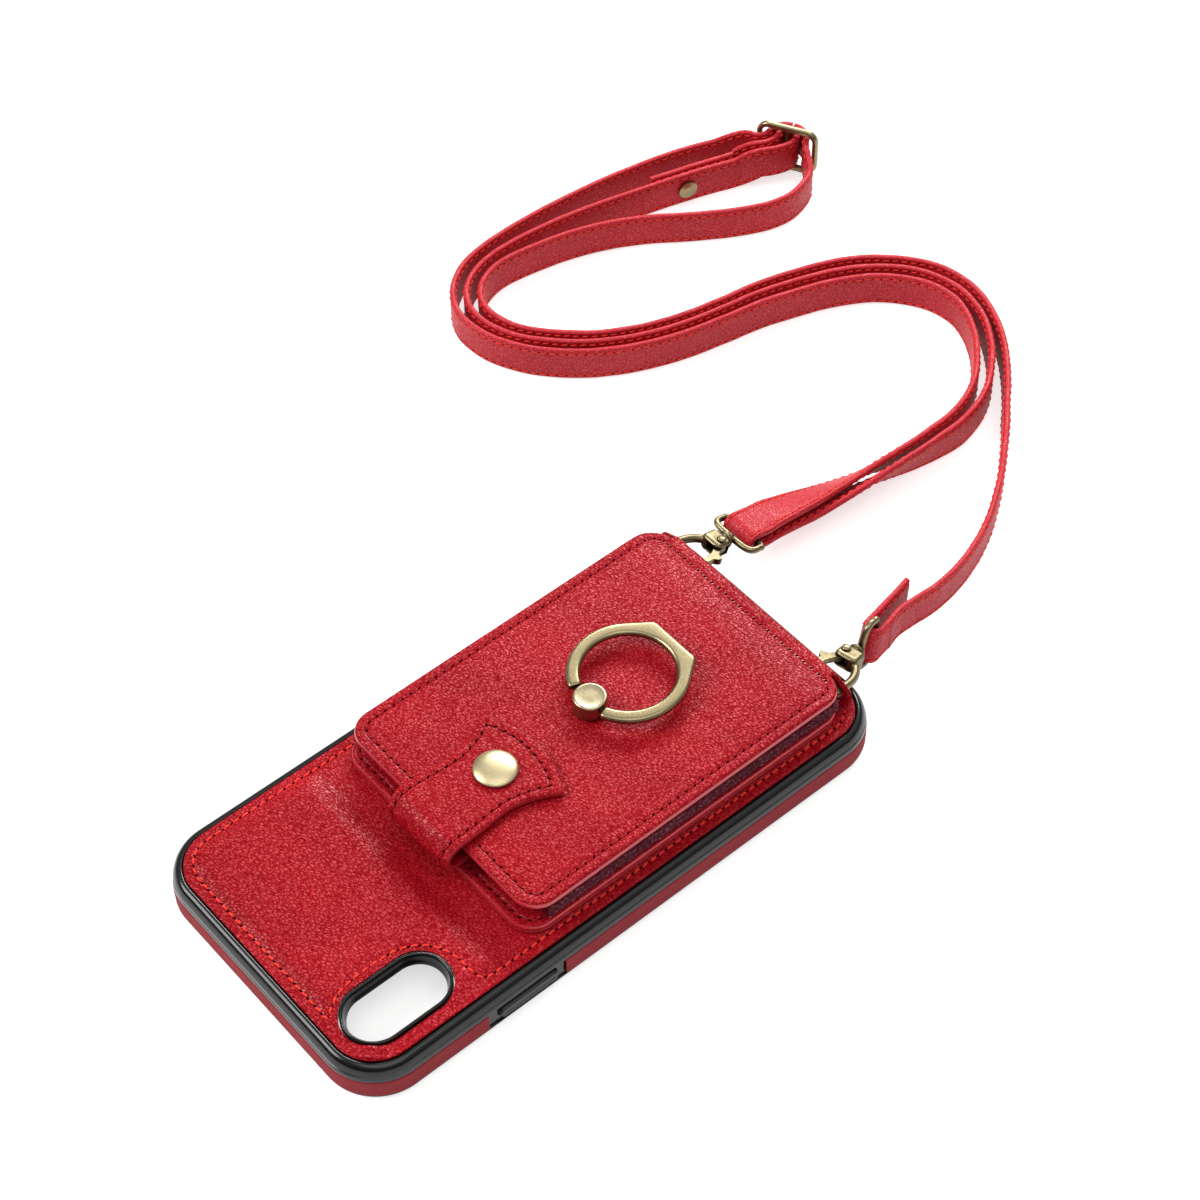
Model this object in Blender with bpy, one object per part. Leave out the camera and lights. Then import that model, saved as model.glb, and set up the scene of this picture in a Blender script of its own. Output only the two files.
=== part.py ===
"""Phone wallet case: bumper, leather back with an accordion card wallet, finger ring and wrist strap.

Frame: +Z up out of the back of the case, +Y towards the wallet's spine and the charging port,
-Y towards the camera, +X the power-button side. The origin is the middle of the case's footprint,
on the surface that the open front of the case lies on. Sizes are written in millimetres and
turned into metres where a mesh or an empty is made.
"""
import math

import bmesh
import bpy
from mathutils import Matrix, Vector

MM = 0.001

# Phone space
PHONE_HALF_WIDTH = 37.95
PHONE_HALF_LENGTH = 75.55
PHONE_THICKNESS = 8.3
PHONE_CORNER = 11.0

# Bumper
WALL = 2.65
FRONT_LIP = 0.8
LIP_OVERLAP = 1.7
BACK_PLATE = 0.7
BUMPER_HEIGHT = 11.2
CASE_HALF_WIDTH = PHONE_HALF_WIDTH + WALL
CASE_HALF_LENGTH = PHONE_HALF_LENGTH + WALL
CASE_CORNER = PHONE_CORNER + WALL
CAVITY_TOP = FRONT_LIP + PHONE_THICKNESS + 0.1
PLATE_TOP = CAVITY_TOP + BACK_PLATE
RIM_INSET = 2.6
GAP = 0.3

# Side band and buttons
BAND_BOTTOM = 1.3
BAND_TOP = 6.8
BAND_GROOVE = 0.55
BUTTON_Z = 4.4
BUTTON_HALF_HEIGHT = 1.6
BUTTON_INNER = 38.3
BUTTON_OUTER = 41.2
POWER_Y = -32.7
POWER_HALF_LENGTH = 8.3
VOLUME_HALF_LENGTH = 4.6
VOLUME_UP_Y = -37.0
VOLUME_DOWN_Y = -25.4
MUTE_Y = -52.0
MUTE_HALF_LENGTH = 5.2
MUTE_HALF_HEIGHT = 2.6
PORT_HALF_LENGTH = 22.0
PORT_HALF_HEIGHT = 3.1
PORT_Z = 4.9

# Camera window
WINDOW_CENTRE = (26.4, -58.2)
WINDOW_HALF_WIDTH = 7.8
WINDOW_HALF_LENGTH = 13.8
WINDOW_WALL = 1.1
WINDOW_TOP = 12.5

# Back panel
BOARD_BOTTOM = PLATE_TOP + GAP
BOARD_TOP = BOARD_BOTTOM + 0.4
PANEL_BOTTOM = BOARD_TOP + GAP
PANEL_LEATHER = 0.7
PAD_HEIGHT = 1.5
PAD_END_Y = -33.0
PAD_BLEND = 7.0

# Wallet
WALLET_HALF_WIDTH = 34.4
WALLET_NEAR = -27.5
WALLET_FAR = 69.6
WALLET_CORNER = 6.5
BASE_BOTTOM = PANEL_BOTTOM + PANEL_LEATHER + GAP
BASE_TOP = 14.4
COVER_NEAR = -26.0
COVER_BOTTOM = 19.4
COVER_TOP = 22.0
COVER_SKIN = 0.8
LEAF_COUNT = 4
LEAF_FIRST = 15.0
LEAF_PITCH = 1.0
LEAF_THICKNESS = 0.55
LEAF_HALF_WIDTH = 30.4
LEAF_HALF_LENGTH = 44.0
LEAF_STEP_BACK = 0.4
LEAF_CENTRE_Y = 22.2
GUSSET_OUTER = 33.3
GUSSET_INNER = 31.3
GUSSET_LEATHER = 0.3
GUSSET_FOLDS = 6
GUSSET_NEAR = -21.0
GUSSET_FAR = 67.2
SPINE_HALF_WIDTH = 33.4
SPINE_LEATHER = 1.2
HINGE_Y = 70.6
HINGE_Z = 17.0

# Closure tab and snap
TAB_LEATHER = 1.8
TAB_BOTTOM = COVER_TOP + GAP
TAB_AXIS_Y = -30.3
TAB_AXIS_Z = 19.0
SNAP_Y = -8.3
SNAP_CAP_RADIUS = 5.3
SOCKET_RADIUS = 3.4
SOCKET_BORE = 2.5
STUD_HEAD = 1.9
STUD_SHAFT = 1.3
FLANGE_RADIUS = 3.5
FLANGE_BOTTOM = COVER_BOTTOM + 0.8
FLANGE_TOP = FLANGE_BOTTOM + 0.6

# Finger ring
POST_X = -0.5
POST_Y = 20.2
POST_RADIUS = 4.05
POST_TOP = 27.0
POST_CAVITY_TOP = 24.4
RING_CENTRE_Y = 31.9
RING_INNER = 11.25
RING_OUTER = 14.6
RING_FLAT_HALF = 7.2
RING_Z = 25.7
RING_HALF_THICKNESS = 0.95
RING_END_X = 5.0
PIN_RADIUS = 0.6

# Clasps
CLASP_X = 25.0
CLASP_Y = 71.2
CLASP_Z = 15.6
CLASP_TILT = 16.0
CLASP_YAW = {"right": 12.0, "left": 0.0}
HOLE_U = (-4.4, 5.0)
HOLE_RADIUS = 1.75
HOOK_RADIUS = 1.15
PIVOT_U = -1.4
PIVOT_V = 10.6
BAIL_V = 20.6
BAIL_HALF_WIDTH = 6.6
BAIL_WIRE = 0.9

# Strap
STRAP_WIDTH = 10.3
STRAP_THICKNESS = 1.7
STRAP_Z = 5.3
FOLD_RADIUS = BAIL_WIRE + GAP + STRAP_THICKNESS / 2
SLIDER_CENTRE = (-125.2, 198.4)
SLIDER_ANGLE = 28.0
SLIDER_HALF_LENGTH = 9.2
SLIDER_HEIGHT = 15.4
SLIDER_HALF_THICKNESS = 1.0
SLIDER_BAR = 1.0
SLIDER_WINDOW = 4.15
TAIL_OFFSET = 2.9
SLIDER_STRAP_Z = 7.7
STRAP_RIVET_RADIUS = 2.8
STRAP_RIVET_SHANK = 0.8
STRAP_RIVET_AT = (-133.45, 167.7)
STRAP_RIVET_NORMAL = (0.96, -0.28, 0.0)
STRAP_RISE = 0.22

# Routes of the strap's three runs over the floor, seen from above
RUN_A = [
    (20.6, 101.0), (20.0, 114.0), (17.4, 126.0), (12.8, 138.0), (5.0, 150.8), (-3.7, 161.8), (-13.3, 172.4),
    (-23.4, 182.6), (-33.5, 190.4), (-46.0, 195.6), (-57.5, 195.8), (-66.2, 192.0), (-74.2, 185.0),
    (-80.4, 176.0), (-84.8, 165.0), (-88.2, 153.5), (-90.3, 141.1), (-93.0, 129.0), (-97.0, 118.3),
    (-102.2, 109.2), (-109.0, 101.5), (-116.8, 95.2), (-124.0, 92.6), (-130.6, 92.8), (-136.0, 96.0),
    (-139.4, 101.4), (-140.4, 108.5), (-139.2, 117.6), (-137.0, 127.6), (-133.2, 137.8), (-127.8, 147.6),
    (-119.4, 159.2), (-113.0, 169.5), (-109.5, 177.3), (-108.4, 184.2), (-109.6, 190.2), (-112.6, 195.4),
    (-116.4, 199.6),
]
RUN_C = [
    (-16.6, 151.0), (-16.6, 160.0), (-19.3, 169.6), (-24.6, 178.0), (-31.6, 185.0), (-40.0, 190.4),
    (-49.5, 192.9), (-58.4, 191.6), (-66.2, 187.6), (-73.2, 180.6), (-78.6, 171.6), (-82.4, 161.6),
    (-85.6, 151.0), (-87.7, 139.4), (-90.4, 127.4), (-94.6, 116.2), (-100.2, 106.6), (-107.2, 98.6),
    (-115.4, 92.2), (-123.8, 89.1), (-131.8, 89.3), (-138.4, 93.0), (-142.6, 99.6), (-144.4, 108.0),
    (-144.2, 118.5), (-142.6, 131.4), (-140.2, 142.8), (-137.6, 152.8), (-134.9, 162.8), (-132.0, 172.6),
    (-128.6, 182.6), (-125.6, 190.0),
]
RUN_B = [
    (-20.0, 151.0), (-20.2, 160.0), (-22.9, 168.4), (-27.8, 175.8), (-34.4, 182.2), (-41.8, 187.0),
    (-49.4, 189.4), (-57.0, 188.4), (-63.8, 184.6), (-70.0, 178.6), (-75.2, 170.0), (-79.0, 160.2),
    (-82.2, 149.8), (-84.4, 138.6), (-87.0, 127.0), (-91.2, 115.4), (-97.0, 105.0), (-104.2, 96.5),
    (-113.2, 89.6), (-122.8, 85.9), (-132.6, 85.8), (-140.8, 90.2), (-146.2, 97.8), (-148.6, 107.6),
    (-149.2, 119.4), (-148.8, 132.0), (-147.4, 147.0), (-145.2, 160.4), (-142.4, 172.4), (-138.6, 183.4),
    (-134.4, 191.4),
]


def clear_scene():
    for obj in list(bpy.data.objects):
        bpy.data.objects.remove(obj, do_unlink=True)


def material(name, colour, roughness, metallic=0.0):
    made = bpy.data.materials.new(name)
    made.use_nodes = True
    shader = made.node_tree.nodes["Principled BSDF"]
    shader.inputs["Base Color"].default_value = (*colour, 1.0)
    shader.inputs["Roughness"].default_value = roughness
    shader.inputs["Metallic"].default_value = metallic
    return made


RED_LEATHER = (0.55, 0.03, 0.045)
DARK_LEATHER = (0.22, 0.012, 0.02)
BLACK_RUBBER = (0.012, 0.012, 0.013)
BOARD_GREY = (0.45, 0.42, 0.38)
BRASS = (0.46, 0.36, 0.19)


def empty(name, location, rotation=None):
    """A frame that parts are parented to, at a joint's axis or a fitting's own origin."""
    frame = bpy.data.objects.new(name, None)
    frame.matrix_world = Matrix.Translation(Vector(location) * MM) @ (rotation or Matrix.Identity(4))
    bpy.context.collection.objects.link(frame)
    return frame


def add_object(name, bm, colour, roughness, metallic=0.0, parent=None, local=False):
    """Turn a bmesh in millimetres into an object. Parented parts keep their world place unless local."""
    bmesh.ops.remove_doubles(bm, verts=bm.verts, dist=0.0005)
    bmesh.ops.recalc_face_normals(bm, faces=bm.faces)
    bmesh.ops.scale(bm, vec=(MM, MM, MM), verts=bm.verts)
    if parent and not local:
        bmesh.ops.transform(bm, matrix=parent.matrix_world.inverted(), verts=bm.verts)
    mesh = bpy.data.meshes.new(name)
    bm.to_mesh(mesh)
    bm.free()
    mesh.shade_smooth()
    mesh.set_sharp_from_angle(angle=math.radians(32))
    mesh.materials.append(material(name, colour, roughness, metallic))
    obj = bpy.data.objects.new(name, mesh)
    bpy.context.collection.objects.link(obj)
    obj.parent = parent
    return obj


def boolean(target, cutter, operation="DIFFERENCE"):
    """Add a Boolean; the cutter stays in the scene as a hidden wire guide."""
    modifier = target.modifiers.new(operation.lower(), "BOOLEAN")
    modifier.operation = operation
    modifier.object = cutter
    cutter.hide_render = True
    cutter.display_type = "WIRE"


def rounded_rect(half_x, half_y, radius, steps=8, sides=(1, 1), centre=(0.0, 0.0)):
    """Outline of a rounded rectangle, anticlockwise; sides says how often each straight is split."""
    radius = min(radius, half_x - 0.01, half_y - 0.01)
    points = []
    for corner, (sign_x, sign_y) in enumerate(((1, 1), (-1, 1), (-1, -1), (1, -1))):
        corner_x = centre[0] + sign_x * (half_x - radius)
        corner_y = centre[1] + sign_y * (half_y - radius)
        for step in range(steps + 1):
            angle = math.radians(90.0 * (corner + step / steps))
            points.append((corner_x + radius * math.cos(angle), corner_y + radius * math.sin(angle)))
        straight = 2 * (half_x - radius) if corner in (0, 2) else 2 * (half_y - radius)
        splits = sides[0] if corner in (0, 2) else sides[1]
        direction = ((-1, 0), (0, -1), (1, 0), (0, 1))[corner]
        last = points[-1]
        for split in range(1, splits):
            along = straight * split / splits
            points.append((last[0] + direction[0] * along, last[1] + direction[1] * along))
    return points


def loft(bm, rings, loop=False):
    """Skin a list of equal rings; the first and last are capped unless the rings close on themselves."""
    rows = [[bm.verts.new(point) for point in ring] for ring in rings]
    pairs = list(zip(rows, rows[1:]))
    if loop:
        pairs.append((rows[-1], rows[0]))
    for lower, upper in pairs:
        for index in range(len(lower)):
            following = (index + 1) % len(lower)
            bm.faces.new((lower[index], lower[following], upper[following], upper[index]))
    if not loop:
        bm.faces.new(list(reversed(rows[0])))
        bm.faces.new(rows[-1])


def stack(profile, half_x, half_y, radius, centre=(0.0, 0.0), steps=8, sides=(1, 1), height=None):
    """Rings of a rounded rectangle at (inset, z) steps; height(x, y) lifts each point."""
    rings = []
    for inset, z in profile:
        outline = rounded_rect(half_x - inset, half_y - inset, max(radius - inset, 0.4), steps, sides, centre)
        rings.append([(x, y, z + (height(x, y) if height else 0.0)) for x, y in outline])
    return rings


def slab(half_x, half_y, radius, bottom, top, edge, centre=(0.0, 0.0), steps=5):
    """A plate with bevelled edges."""
    profile = [(edge, bottom), (0.0, bottom + edge), (0.0, top - edge), (0.3 * edge, top - 0.3 * edge),
               (edge, top)]
    bm = bmesh.new()
    loft(bm, stack(profile, half_x, half_y, radius, centre, steps))
    return bm


def turned(profile, centre, sides=24, tube=False):
    """A solid of revolution about Z through centre, from (radius, z) points; a tube's profile is closed."""
    turns = [math.tau * side / sides for side in range(sides)]
    bm = bmesh.new()
    loft(bm, [[(centre[0] + radius * math.cos(turn), centre[1] + radius * math.sin(turn), z) for turn in turns]
              for radius, z in profile], loop=tube)
    return bm


def stepped_rod(start, axis, profile, sides=12):
    """A solid of revolution along any axis, from (distance, radius) steps."""
    start, axis = Vector(start), Vector(axis).normalized()
    across = axis.orthogonal().normalized()
    other = axis.cross(across)
    turns = [math.tau * side / sides for side in range(sides)]
    bm = bmesh.new()
    loft(bm, [[start + axis * distance + (across * math.cos(turn) + other * math.sin(turn)) * radius
               for turn in turns] for distance, radius in profile])
    return bm


def rod(start, end, radius, sides=12):
    """A straight round bar between two points."""
    reach = Vector(end) - Vector(start)
    return stepped_rod(start, reach, [(0.0, radius), (reach.length, radius)], sides)


def smooth_path(points, per_segment=3):
    """Catmull-Rom curve through the points."""
    points = [Vector(point) for point in points]
    padded = [2 * points[0] - points[1]] + points + [2 * points[-1] - points[-2]]
    result = []
    for index in range(1, len(padded) - 2):
        before, here, there, after = padded[index - 1:index + 3]
        for step in range(per_segment):
            t = step / per_segment
            result.append(0.5 * ((2 * here) + (there - before) * t
                                 + (2 * before - 5 * here + 4 * there - after) * t * t
                                 + (3 * here - before - 3 * there + after) * t ** 3))
    result.append(points[-1])
    return result


def sweep(path, ups, section, loop=False):
    """Carry a section (side, up) along a path; ups gives the section's up direction at each point."""
    bm = bmesh.new()
    rings = []
    count = len(path)
    for index, point in enumerate(path):
        ahead = path[(index + 1) % count] if loop or index < count - 1 else point
        behind = path[index - 1] if loop or index > 0 else point
        tangent = (ahead - behind).normalized()
        up = (ups[index] - tangent * ups[index].dot(tangent)).normalized()
        side = tangent.cross(up)
        rings.append([point + side * s + up * u for s, u in section])
    loft(bm, rings, loop)
    return bm


def round_section(radius, sides=8):
    turns = [math.tau * side / sides for side in range(sides)]
    return [(radius * math.cos(turn), radius * math.sin(turn)) for turn in turns]


def strap_section():
    """The strap's cross-section: flat faces with softened edges."""
    half_t, half_w, soft = STRAP_THICKNESS / 2, STRAP_WIDTH / 2, 0.5
    return [(half_t, -half_w + soft), (half_t, half_w - soft), (0.0, half_w), (-half_t, half_w - soft),
            (-half_t, soft - half_w), (0.0, -half_w)]


def cutter_box(name, centre, half_sizes, radius, axis="X"):
    """A hidden rounded bar that cuts a slot through a wall along X or Y."""
    half_a, half_b, half_depth = half_sizes
    outline = rounded_rect(half_a, half_b, radius, steps=5)
    bm = bmesh.new()
    if axis == "X":
        loft(bm, [[(centre[0] + depth, centre[1] + a, centre[2] + b) for a, b in outline]
                  for depth in (-half_depth, half_depth)])
    else:
        loft(bm, [[(centre[0] - a, centre[1] + depth, centre[2] + b) for a, b in outline]
                  for depth in (-half_depth, half_depth)])
    return add_object(name, bm, BOARD_GREY, 0.5)


def window_cutter(name, grow, bottom=5.0, top=20.0):
    """A hidden pill that cuts the camera window."""
    bm = bmesh.new()
    half_x = WINDOW_HALF_WIDTH + grow
    loft(bm, stack([(0.0, bottom), (0.0, top)], half_x, WINDOW_HALF_LENGTH + grow, half_x, WINDOW_CENTRE))
    return add_object(name, bm, BOARD_GREY, 0.5)


def pad_rise(x, y):
    """How far the padded camera end of the back panel stands up at a point."""
    lengthwise = min(max((PAD_END_Y - y) / PAD_BLEND, 0.0), 1.0)
    edge = min(PHONE_HALF_WIDTH - abs(x), PHONE_HALF_LENGTH - abs(y))
    sideways = min(max((edge - 0.8) / 6.0, 0.0), 1.0)
    ease = [value * value * (3 - 2 * value) for value in (lengthwise, sideways)]
    return PAD_HEIGHT * ease[0] * ease[1]


def build_bumper():
    """The soft bumper: side walls, a lip round the open front and a thin back plate with a raised rim."""
    profile = [
        (RIM_INSET + 0.2, PLATE_TOP),
        (RIM_INSET, BUMPER_HEIGHT - 0.3),
        (RIM_INSET - 0.25, BUMPER_HEIGHT),
        (1.7, BUMPER_HEIGHT - 0.15),
        (0.7, 10.1),
        (0.2, 9.0),
        (0.0, 7.8),
        (0.0, BAND_TOP),
        (BAND_GROOVE, BAND_TOP),
        (BAND_GROOVE, BAND_BOTTOM),
        (0.1, BAND_BOTTOM),
        (0.35, 0.4),
        (1.0, 0.0),
        (WALL + LIP_OVERLAP - 0.3, 0.0),
        (WALL + LIP_OVERLAP, 0.3),
        (WALL + LIP_OVERLAP, FRONT_LIP),
        (WALL, FRONT_LIP + 0.4),
        (WALL, CAVITY_TOP - 0.6),
        (WALL + 0.6, CAVITY_TOP),
    ]
    bm = bmesh.new()
    loft(bm, stack(profile, CASE_HALF_WIDTH, CASE_HALF_LENGTH, CASE_CORNER, steps=6))
    bumper = add_object("bumper_frame", bm, BLACK_RUBBER, 0.35)
    boolean(bumper, window_cutter("cut_bumper_window", GAP))
    slot = BUTTON_HALF_HEIGHT + GAP
    boolean(bumper, cutter_box("cut_power", (CASE_HALF_WIDTH - 1, POWER_Y, BUTTON_Z),
                               (POWER_HALF_LENGTH + GAP, slot, 3.0), slot - 0.1))
    for name, y, half, height in (("cut_volume_up", VOLUME_UP_Y, VOLUME_HALF_LENGTH + GAP, slot),
                                  ("cut_volume_down", VOLUME_DOWN_Y, VOLUME_HALF_LENGTH + GAP, slot),
                                  ("cut_mute", MUTE_Y, MUTE_HALF_LENGTH, MUTE_HALF_HEIGHT)):
        boolean(bumper, cutter_box(name, (1 - CASE_HALF_WIDTH, y, BUTTON_Z), (half, height, 3.0), slot - 0.1))
    boolean(bumper, cutter_box("cut_ports", (0.0, CASE_HALF_LENGTH - 1, PORT_Z),
                               (PORT_HALF_LENGTH, PORT_HALF_HEIGHT, 3.0), PORT_HALF_HEIGHT - 0.1, "Y"))


def build_buttons():
    """Side buttons: soft pads that travel inwards through the bumper wall."""
    for name, side, y, half in (("power_button", 1, POWER_Y, POWER_HALF_LENGTH),
                                ("volume_up_button", -1, VOLUME_UP_Y, VOLUME_HALF_LENGTH),
                                ("volume_down_button", -1, VOLUME_DOWN_Y, VOLUME_HALF_LENGTH)):
        steps = ((0.0, BUTTON_INNER), (0.0, BUTTON_OUTER - 0.5), (0.15, BUTTON_OUTER - 0.15),
                 (0.5, BUTTON_OUTER))
        rings = []
        for inset, x in steps:
            half_height = BUTTON_HALF_HEIGHT - inset
            outline = rounded_rect(half - inset, half_height, half_height, steps=5)
            rings.append([(side * x, y + a, BUTTON_Z + b) for a, b in outline])
        bm = bmesh.new()
        loft(bm, rings)
        frame = empty(name + "_axis", (side * BUTTON_OUTER, y, BUTTON_Z))
        add_object(name, bm, BLACK_RUBBER, 0.4, parent=frame)


def outline_point(distance):
    """Point and outward normal on the bumper's outline, a signed distance from the camera end's middle.

    Positive distances run towards +X and then along that side to the port end.
    """
    sign = 1 if distance >= 0 else -1
    along = abs(distance)
    straight_end = CASE_HALF_WIDTH - CASE_CORNER
    corner_y = CASE_HALF_LENGTH - CASE_CORNER
    arc = math.pi / 2 * CASE_CORNER
    straight_side = 2 * corner_y
    if along < straight_end:
        place, normal = (along, -CASE_HALF_LENGTH), (0.0, -1.0)
    elif along < straight_end + arc:
        angle = (along - straight_end) / CASE_CORNER
        normal = (math.sin(angle), -math.cos(angle))
        place = (straight_end + CASE_CORNER * normal[0], CASE_CORNER * normal[1] - corner_y)
    elif along < straight_end + arc + straight_side:
        run = along - straight_end - arc
        place, normal = (CASE_HALF_WIDTH, run - corner_y), (1.0, 0.0)
    elif along < straight_end + 2 * arc + straight_side:
        angle = (along - straight_end - arc - straight_side) / CASE_CORNER
        normal = (math.cos(angle), math.sin(angle))
        place = (straight_end + CASE_CORNER * normal[0], corner_y + CASE_CORNER * normal[1])
    else:
        run = along - straight_end - 2 * arc - straight_side
        place, normal = (straight_end - run, CASE_HALF_LENGTH), (0.0, 1.0)
    return Vector((sign * place[0], place[1], 0.0)), Vector((sign * normal[0], normal[1], 0.0))


def side_distance(y):
    """Distance along the outline of the point at y on a long side."""
    return CASE_HALF_WIDTH - CASE_CORNER + math.pi / 2 * CASE_CORNER + y + CASE_HALF_LENGTH - CASE_CORNER


def build_side_bands():
    """Leather-cloth bands set into the groove round the bumper, open at the buttons, switch and ports."""
    corner_y = CASE_HALF_LENGTH - CASE_CORNER
    total = side_distance(corner_y) + math.pi / 2 * CASE_CORNER + CASE_HALF_WIDTH - CASE_CORNER
    port = total - PORT_HALF_LENGTH - 1.6
    spans = {
        "side_band_camera_end": (-side_distance(MUTE_Y - MUTE_HALF_LENGTH - 1.2), side_distance(-44.0)),
        "side_band_power_side": (side_distance(-21.9), port),
        "side_band_volume_side": (-port, -side_distance(VOLUME_DOWN_Y + VOLUME_HALF_LENGTH + 2.4)),
    }
    low, high = BAND_BOTTOM + GAP, BAND_TOP - GAP
    inner, outer, soft = GAP - BAND_GROOVE, 0.12, 0.12
    section = [(inner, low), (outer - soft, low), (outer, low + 0.3), (outer, high - 0.3),
               (outer - soft, high), (inner, high)]
    for name, (start, end) in spans.items():
        count = 2 + int((end - start) / 2.4)
        rings = []
        for index in range(count + 1):
            place, normal = outline_point(start + (end - start) * index / count)
            rings.append([place + normal * offset + Vector((0, 0, z)) for offset, z in section])
        bm = bmesh.new()
        loft(bm, rings)
        add_object(name, bm, DARK_LEATHER, 0.8)


def build_back():
    """Stiffening board, foam pad and leather panel set inside the bumper's rim, and the window's rim."""
    half_x = CASE_HALF_WIDTH - RIM_INSET - GAP
    half_y = CASE_HALF_LENGTH - RIM_INSET - GAP
    corner = CASE_CORNER - RIM_INSET - GAP
    board = add_object("back_board", slab(half_x - 0.4, half_y - 0.4, corner, BOARD_BOTTOM, BOARD_TOP, 0.1),
                       BOARD_GREY, 0.9)
    boolean(board, window_cutter("cut_board_window", GAP))

    top = PANEL_BOTTOM + PANEL_LEATHER
    insets = (18.0, 8.0, 6.5, 5.0, 3.5, 2.0, 0.35)
    profile = [(inset, PANEL_BOTTOM) for inset in insets]
    profile += [(0.0, PANEL_BOTTOM + 0.2), (0.0, top - 0.3)]
    profile += [(inset, top) for inset in reversed(insets)]
    bm = bmesh.new()
    loft(bm, stack(profile, half_x, half_y, corner, steps=5, sides=(2, 20), height=pad_rise))
    caps = [face for face in bm.faces if len(face.verts) > 4]
    bmesh.ops.triangulate(bm, faces=caps, ngon_method="BEAUTY")
    panel = add_object("back_panel", bm, RED_LEATHER, 0.5)
    boolean(panel, window_cutter("cut_panel_window", GAP))

    bm = bmesh.new()
    pad_centre = (0.0, (PAD_END_Y - PHONE_HALF_LENGTH) / 2)
    pad_half_y = (PAD_END_Y + PHONE_HALF_LENGTH) / 2 - 4.0

    def foam_rise(x, y):
        return max(pad_rise(x, y) - 0.8, 0.0)

    foam_floor = BOARD_TOP + GAP
    foam_half_x = half_x - 4.8
    rings = stack([(1.0, foam_floor), (0.0, foam_floor)], foam_half_x, pad_half_y, 9.0, pad_centre, 5, (4, 8))
    rings += stack([(inset, foam_floor + 0.05) for inset in (0.0, 1.5, 3.0, 4.5, 8.0, 13.0)],
                   foam_half_x, pad_half_y, 9.0, pad_centre, 5, (4, 8), foam_rise)
    loft(bm, rings)
    foam = add_object("camera_end_foam", bm, BOARD_GREY, 0.9)
    boolean(foam, window_cutter("cut_foam_window", GAP))

    foot = PLATE_TOP - BACK_PLATE + 0.2
    rings = []
    for grow, z in ((0.0, foot), (0.0, WINDOW_TOP - 0.3), (-0.25, WINDOW_TOP),
                    (0.3 - WINDOW_WALL, WINDOW_TOP - 0.4), (-WINDOW_WALL - 0.4, foot)):
        half = WINDOW_HALF_WIDTH + grow
        outline = rounded_rect(half, WINDOW_HALF_LENGTH + grow, half, steps=6, centre=WINDOW_CENTRE)
        rings.append([(x, y, z) for x, y in outline])
    bm = bmesh.new()
    loft(bm, rings, loop=True)
    add_object("camera_window_rim", bm, BLACK_RUBBER, 0.3)


def cut_hole(target, name, x, y, radius, bottom=18.0, top=30.0):
    cutter = add_object(name, turned([(radius, bottom), (radius, top)], (x, y), 24), BOARD_GREY, 0.5)
    boolean(target, cutter)


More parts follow.
